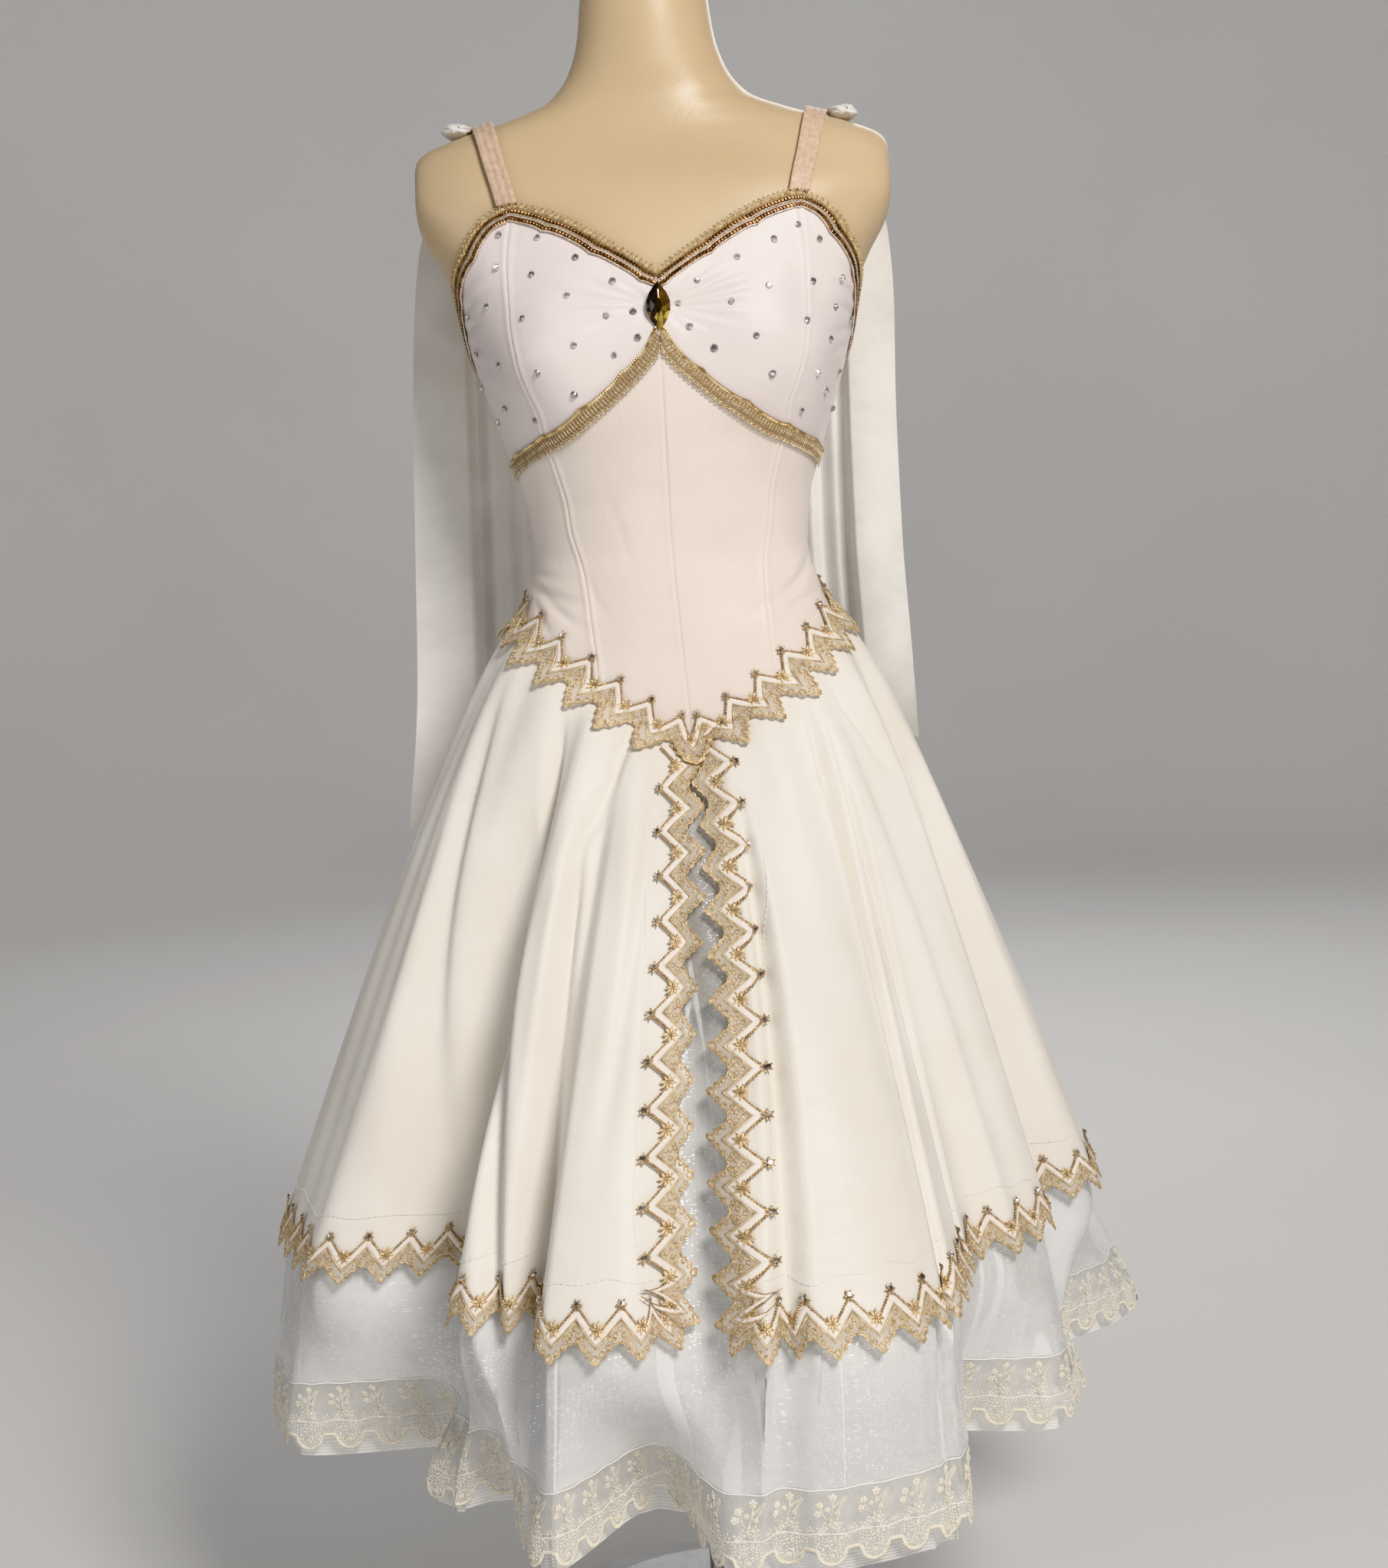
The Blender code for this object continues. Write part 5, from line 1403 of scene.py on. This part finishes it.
netAcross = np.linspace(0, border["pitch"], 19)
borderParts = [
    ("ground", [netBetween(netAcross, scallopEdge(netAcross) + 0.8, border["width"], 7)], borderNet),
    ("thread", borderThread(), creamThread),
    ("lines", borderLines(), whiteThread),
]
for name, ends in halves.items():
    guidePoints, repeats = borderGuide(*ends)
    for part, shapes, material in borderParts:
        made = bendMotif(f"tulle_border_{part}_{name}", shapes, guidePoints, repeats, border, material)
        declare(made, [f"lace_border_{name}"] if part == "thread" else ())
print("tulle border made")

# what is sewn or glued on one by one: stones, stitches and hooks
# the stones of each cup: azimuth away from the middle, height
cupStones = {
    "left": np.array([
        (47.3, 1.2387), (33.2, 1.2205), (18.4, 1.1998), (47.0, 1.2094), (34.4, 1.1904), (47.5, 1.1747),
        (20.6, 1.1733), (10.4, 1.1755), (31.2, 1.1508), (8.9, 1.1543), (18.2, 1.1420), (42.6, 1.1321),
        (33.3, 1.1139), (58.6, 1.2441), (58.5, 1.2185), (62.2, 1.1888), (73.1, 1.1840), (73.7, 1.1531),
        (57.9, 1.1410), (64.7, 1.1077), (50.6, 1.0965), (76.5, 1.0980), (82.0, 1.1280),
    ]),
    "right": np.array([
        (16.7, 1.1972), (32.9, 1.2142), (46.8, 1.2281), (8.6, 1.1807), (12.2, 1.1613), (28.1, 1.1791),
        (40.9, 1.1903), (20.9, 1.1434), (34.1, 1.1512), (56.0, 1.1945), (54.9, 1.2396), (60.2, 1.2287),
        (67.6, 1.1988), (65.0, 1.1750), (50.3, 1.1623), (62.1, 1.1495), (76.8, 1.1672), (39.2, 1.1224),
        (57.7, 1.1231), (67.2, 1.1096), (55.6, 1.0937), (76.6, 1.1249), (82.0, 1.0960),
    ]),
}


def addCupStones():
    stone = [cutStone(0, 0, 2.9, 2.3, 10, 0.0, 0.5)]
    for name, side in sides.items():
        azimuth, height = cupStones[name].T * [[side], [1]]
        points, outs = onBodice(azimuth, height, 0.0003), normalOf(torsoPoint, azimuth, height)
        sizes = 0.92 + 0.16 * ((np.arange(len(azimuth)) * 7) % 5) / 4
        look = (stone, clearCrystal, "gem", 7.0, 3 + side, False)
        scatter(f"cup_stones_{name}", points, outs, (0, 0, 1), sizes, *look)


# lengths in metres, half a stitch in millimetres, tilt in degrees
stitch = {
    "pitch": 0.0052, "lift": 0.0001, "half": 2.1, "tilt": 4.0, "hem": 0.4585, "facing": 0.042, "facingTop": 0.775,
    "facingBottom": 0.462,
}
hooks = {"bottom": 0.918, "top": 1.092, "pitch": 0.0145, "lift": 0.0006, "tilt": 2.0}


def stitchRun(name, azimuth, height, seed):
    # stitches laid end to end along a line on the skirt
    line, outs = onSkirt(azimuth, height, stitch["lift"]), normalOf(skirtCloth, azimuth, height)
    along = alongPath(line)
    places = np.arange(stitch["pitch"] / 2, along[-1], stitch["pitch"])
    spots, ahead, facing = (
        stacked(*(np.interp(place, along, values) for values in run.T))
        for place, run in ((places, line), (places + 0.001, line), (places, outs))
    )
    profile = ((-1, 0.1), (-0.6, 0.4), (0.6, 0.4), (1, 0.1))
    shape = tube([(share * stitch["half"], 0, lift) for share, lift in profile], [0.15, 0.36, 0.36, 0.15])
    scatter(name, spots, facing, ahead - spots, 1.0, [shape], whiteThread, "skirt", stitch["tilt"], seed)


def addStitches():
    start, end = float(fromSplit(1, 0.030, 0.46)), 360 + float(fromSplit(-1, 0.030, 0.46))
    azimuth = np.linspace(start, end, 1500)
    sway = 0.0022 * np.sin(np.radians(azimuth) * 23) + 0.0014 * np.sin(np.radians(azimuth) * 57)
    stitchRun("hem_stitches", azimuth, stitch["hem"] + sway, 5)
    height = np.linspace(stitch["facingTop"], stitch["facingBottom"], 240)
    for name, side in sides.items():
        azimuth = fromSplit(side, stitch["facing"] + 0.0006 * np.sin(height * 90), height)
        stitchRun(f"facing_stitches_{name}", azimuth, height, 7)


def addHooks():
    # hook-and-bar closing down the centre back
    height = np.arange(hooks["bottom"], hooks["top"], hooks["pitch"])
    azimuth = np.full(height.shape, 180.0)
    bend = [(-4.2, -1.1), (-1.0, -0.9), (1.6, -1.6), (3.6, -0.8)]
    shapes = [tube(bend + [(x, -y) for x, y in bend[::-1]], 0.45)]
    shapes += [ring(-4.6, y, 1.0, 0.4, 6, 3) for y in (1.9, -1.9)]
    points, outs = onBodice(azimuth, height, hooks["lift"]), normalOf(torsoPoint, azimuth, height)
    scatter("back_hooks", points, outs, (1, 0, 0), 1.0, shapes, darkHook, "stand", hooks["tilt"], 11)


addCupStones()
addStitches()
addHooks()
print("stones, stitches and hooks made")

# the chiffon drapes, in rows from the hem up over the shoulder:
# height, outer edge's x on the left and on the right, its y, inner edge's x and y, depth of the wave
drapeRows = np.array([
    (0.735, 0.256, 0.2185, 0.130, 0.112, 0.216, 0.011), (0.860, 0.240, 0.2155, 0.124, 0.104, 0.164, 0.011),
    (0.985, 0.233, 0.2095, 0.118, 0.098, 0.136, 0.010), (1.100, 0.227, 0.2080, 0.112, 0.100, 0.126, 0.008),
    (1.190, 0.220, 0.2095, 0.107, 0.105, 0.122, 0.006), (1.250, 0.211, 0.2060, 0.099, 0.111, 0.113, 0.004),
    (1.292, 0.195, 0.1930, 0.083, 0.118, 0.094, 0.003), (1.320, 0.179, 0.1780, 0.059, 0.128, 0.068, 0.002),
    (1.338, 0.167, 0.1670, 0.029, 0.153, 0.034, 0.001), (1.343, 0.163, 0.1630, 0.000, 0.1555, 0.002, 0.0),
])
drape = {
    "fold": 0.39, "foldWidth": 0.05, "hemRiseRight": 0.062, "rows": 105, "columns": 90,
    "outerClosed": 0.88, "innerClosedShaded": 0.66,
}


def drapeWave(share, up):
    # the outer part lies flat in front of the inner one, which hangs in two soft folds
    step = eased((share - drape["fold"] + 0.012 * np.sin(0.9 * up)) / drape["foldWidth"])
    outer = 0.35 * np.cos(2 * math.pi * 1.3 * share + 0.5 * np.sin(0.7 * up))
    inner = 0.45 * np.sin(2 * math.pi * 5 * (share - drape["fold"]) + 0.6 * np.sin(0.8 * up))
    return 2 * step - 1 + outer * (1 - step) + inner * step


def addDrape(name, side):
    # along the rows by their order, so that the flat turn over the shoulder keeps its points
    order = np.arange(len(drapeRows), dtype=float)
    up = np.linspace(0, order[-1], drape["rows"])[:, None]
    share = np.linspace(0, 1, drape["columns"])[None, :]
    height, outerLeft, outerRight, outerY, innerX, innerY, wave = (
        smoothValue(order, values, up) for values in drapeRows.T
    )
    outer, below = outerRight if side > 0 else outerLeft, np.maximum(1 - up, 0)
    x = outer + (innerX - outer) * share
    y = outerY + (innerY - outerY) * share + wave * drapeWave(share, up)
    height = height + drape["hemRiseRight"] * below * (side > 0) + 0.004 * np.sin(7 * share) * below
    points = stacked(side * x, y, height)[:, ::side]
    # partly painted shade: the inner part is left less closed so that it looks darker, standing in for the shade the
    # body casts on it; the outer part is more closed because its fold lies doubled
    inward = eased((share - drape["fold"]) / drape["foldWidth"])[:, ::side]
    closed = drape["outerClosed"] + (drape["innerClosedShaded"] - drape["outerClosed"]) * inward
    made = addSheet(f"chiffon_drape_{name}", points, drapeChiffon)
    addDensity(made, points, closed)
    declare(made, [f"drape_{name}"])


# the chiffon is gathered where it is sewn to the strap: a small pleated tuft on each shoulder
gather = {
    "x": 0.1625, "z": 1.3415, "halfWidth": 0.0125, "halfHeight": 0.0060, "front": -0.010, "back": 0.024,
    "drop": 0.012, "pleats": 4, "pleatDepth": 0.10, "pleatSway": 0.0016, "rings": 16, "sides": 54, "closed": 0.985,
}


def addGather(name, side):
    up = np.linspace(0, 1, gather["rings"])[:, None]
    turn = (np.arange(gather["sides"]) * 2 * math.pi / gather["sides"])[None, :]
    size = np.sin(math.pi * np.clip(up, 0.02, 0.98) ** 0.7) ** 0.6
    pleats = np.cos(gather["pleats"] * turn + 1.5 * up + side) * np.sin(math.pi * up)
    size = size * (1 + gather["pleatDepth"] * pleats - 0.025 * np.cos(11 * turn))
    x = side * gather["x"] + gather["halfWidth"] * size * np.cos(turn)
    z = gather["z"] + gather["halfHeight"] * size * np.sin(turn) - gather["drop"] * np.maximum(up - 0.5, 0)
    y = gather["front"] + (gather["back"] - gather["front"]) * up
    points = stacked(x, y + gather["pleatSway"] * np.cos(gather["pleats"] * turn), z)
    made = addRings(f"shoulder_gather_{name}", points, drapeChiffon, sheetUvs(points), turned=True)
    addDensity(made, points, gather["closed"])
    declare(made)


for name, side in sides.items():
    addDrape(name, side)
    addGather(name, side)
print("drapes made")


# stage
studio = {"floorRadius": 4.2, "bendRadius": 1.8, "wallTop": 4.5, "sides": 72}


def addStage():
    # a round floor that bends up into a wall
    bend, reach = np.radians(np.arange(6, 91, 6)), studio["bendRadius"]
    radii = studio["floorRadius"] + reach * np.array([0.0, *np.sin(bend), 1.0])
    heights = np.array([0.0, *(reach - reach * np.cos(bend)), studio["wallTop"]])
    turns = np.arange(studio["sides"]) * 2 * math.pi / studio["sides"]
    rings = stacked(radii[:, None] * np.cos(turns), radii[:, None] * np.sin(turns), heights[:, None])[::-1]
    paint, tree, shader = addMaterial("floor_paint", (0.78, 0.77, 0.76), 0.8)
    tones(tree, shader, (0.76, 0.75, 0.74), (0.80, 0.79, 0.78), fromSurface(tree, "Object"), 0.7)
    addRings("studio_floor", rings, paint, openStart=True)


def addLight(name, place, target, size, power, colour=(1, 1, 1)):
    data = bpy.data.lights.new(name, "AREA")
    data.shape, data.energy, data.color = "RECTANGLE", power, colour
    data.size, data.size_y = size
    aim = Vector(target) - Vector(place)
    addObject(name, data, Matrix.Translation(place) @ aim.to_track_quat("-Z", "Y").to_matrix().to_4x4())


addStage()
addLight("key", (1.2, -2.5, 2.9), (0, 0, 0.95), (1.0, 1.0), 92, (1.0, 0.97, 0.93))
addLight("fill", (-2.8, -1.6, 1.5), (0, 0, 0.9), (1.6, 1.6), 10, (0.94, 0.96, 1.0))
addLight("back", (0.6, 2.8, 2.6), (0, 0, 0.9), (2.0, 1.4), 30)
addLight("low", (0.15, -1.75, 0.22), (0, 0, 0.66), (1.2, 0.4), 3, (1.0, 0.98, 0.95))
addLight("backdrop", (0, 2.2, 3.4), (0, 6, 1.0), (3.0, 1.0), 26)
world = bpy.data.worlds.new("studio")
bpy.context.scene.world = world
world.use_nodes = True
world.node_tree.nodes["Background"].inputs["Color"].default_value = (0.89, 0.89, 0.90, 1)
world.node_tree.nodes["Background"].inputs["Strength"].default_value = 0.19
bpy.context.scene.view_settings.view_transform = "Khronos PBR Neutral"
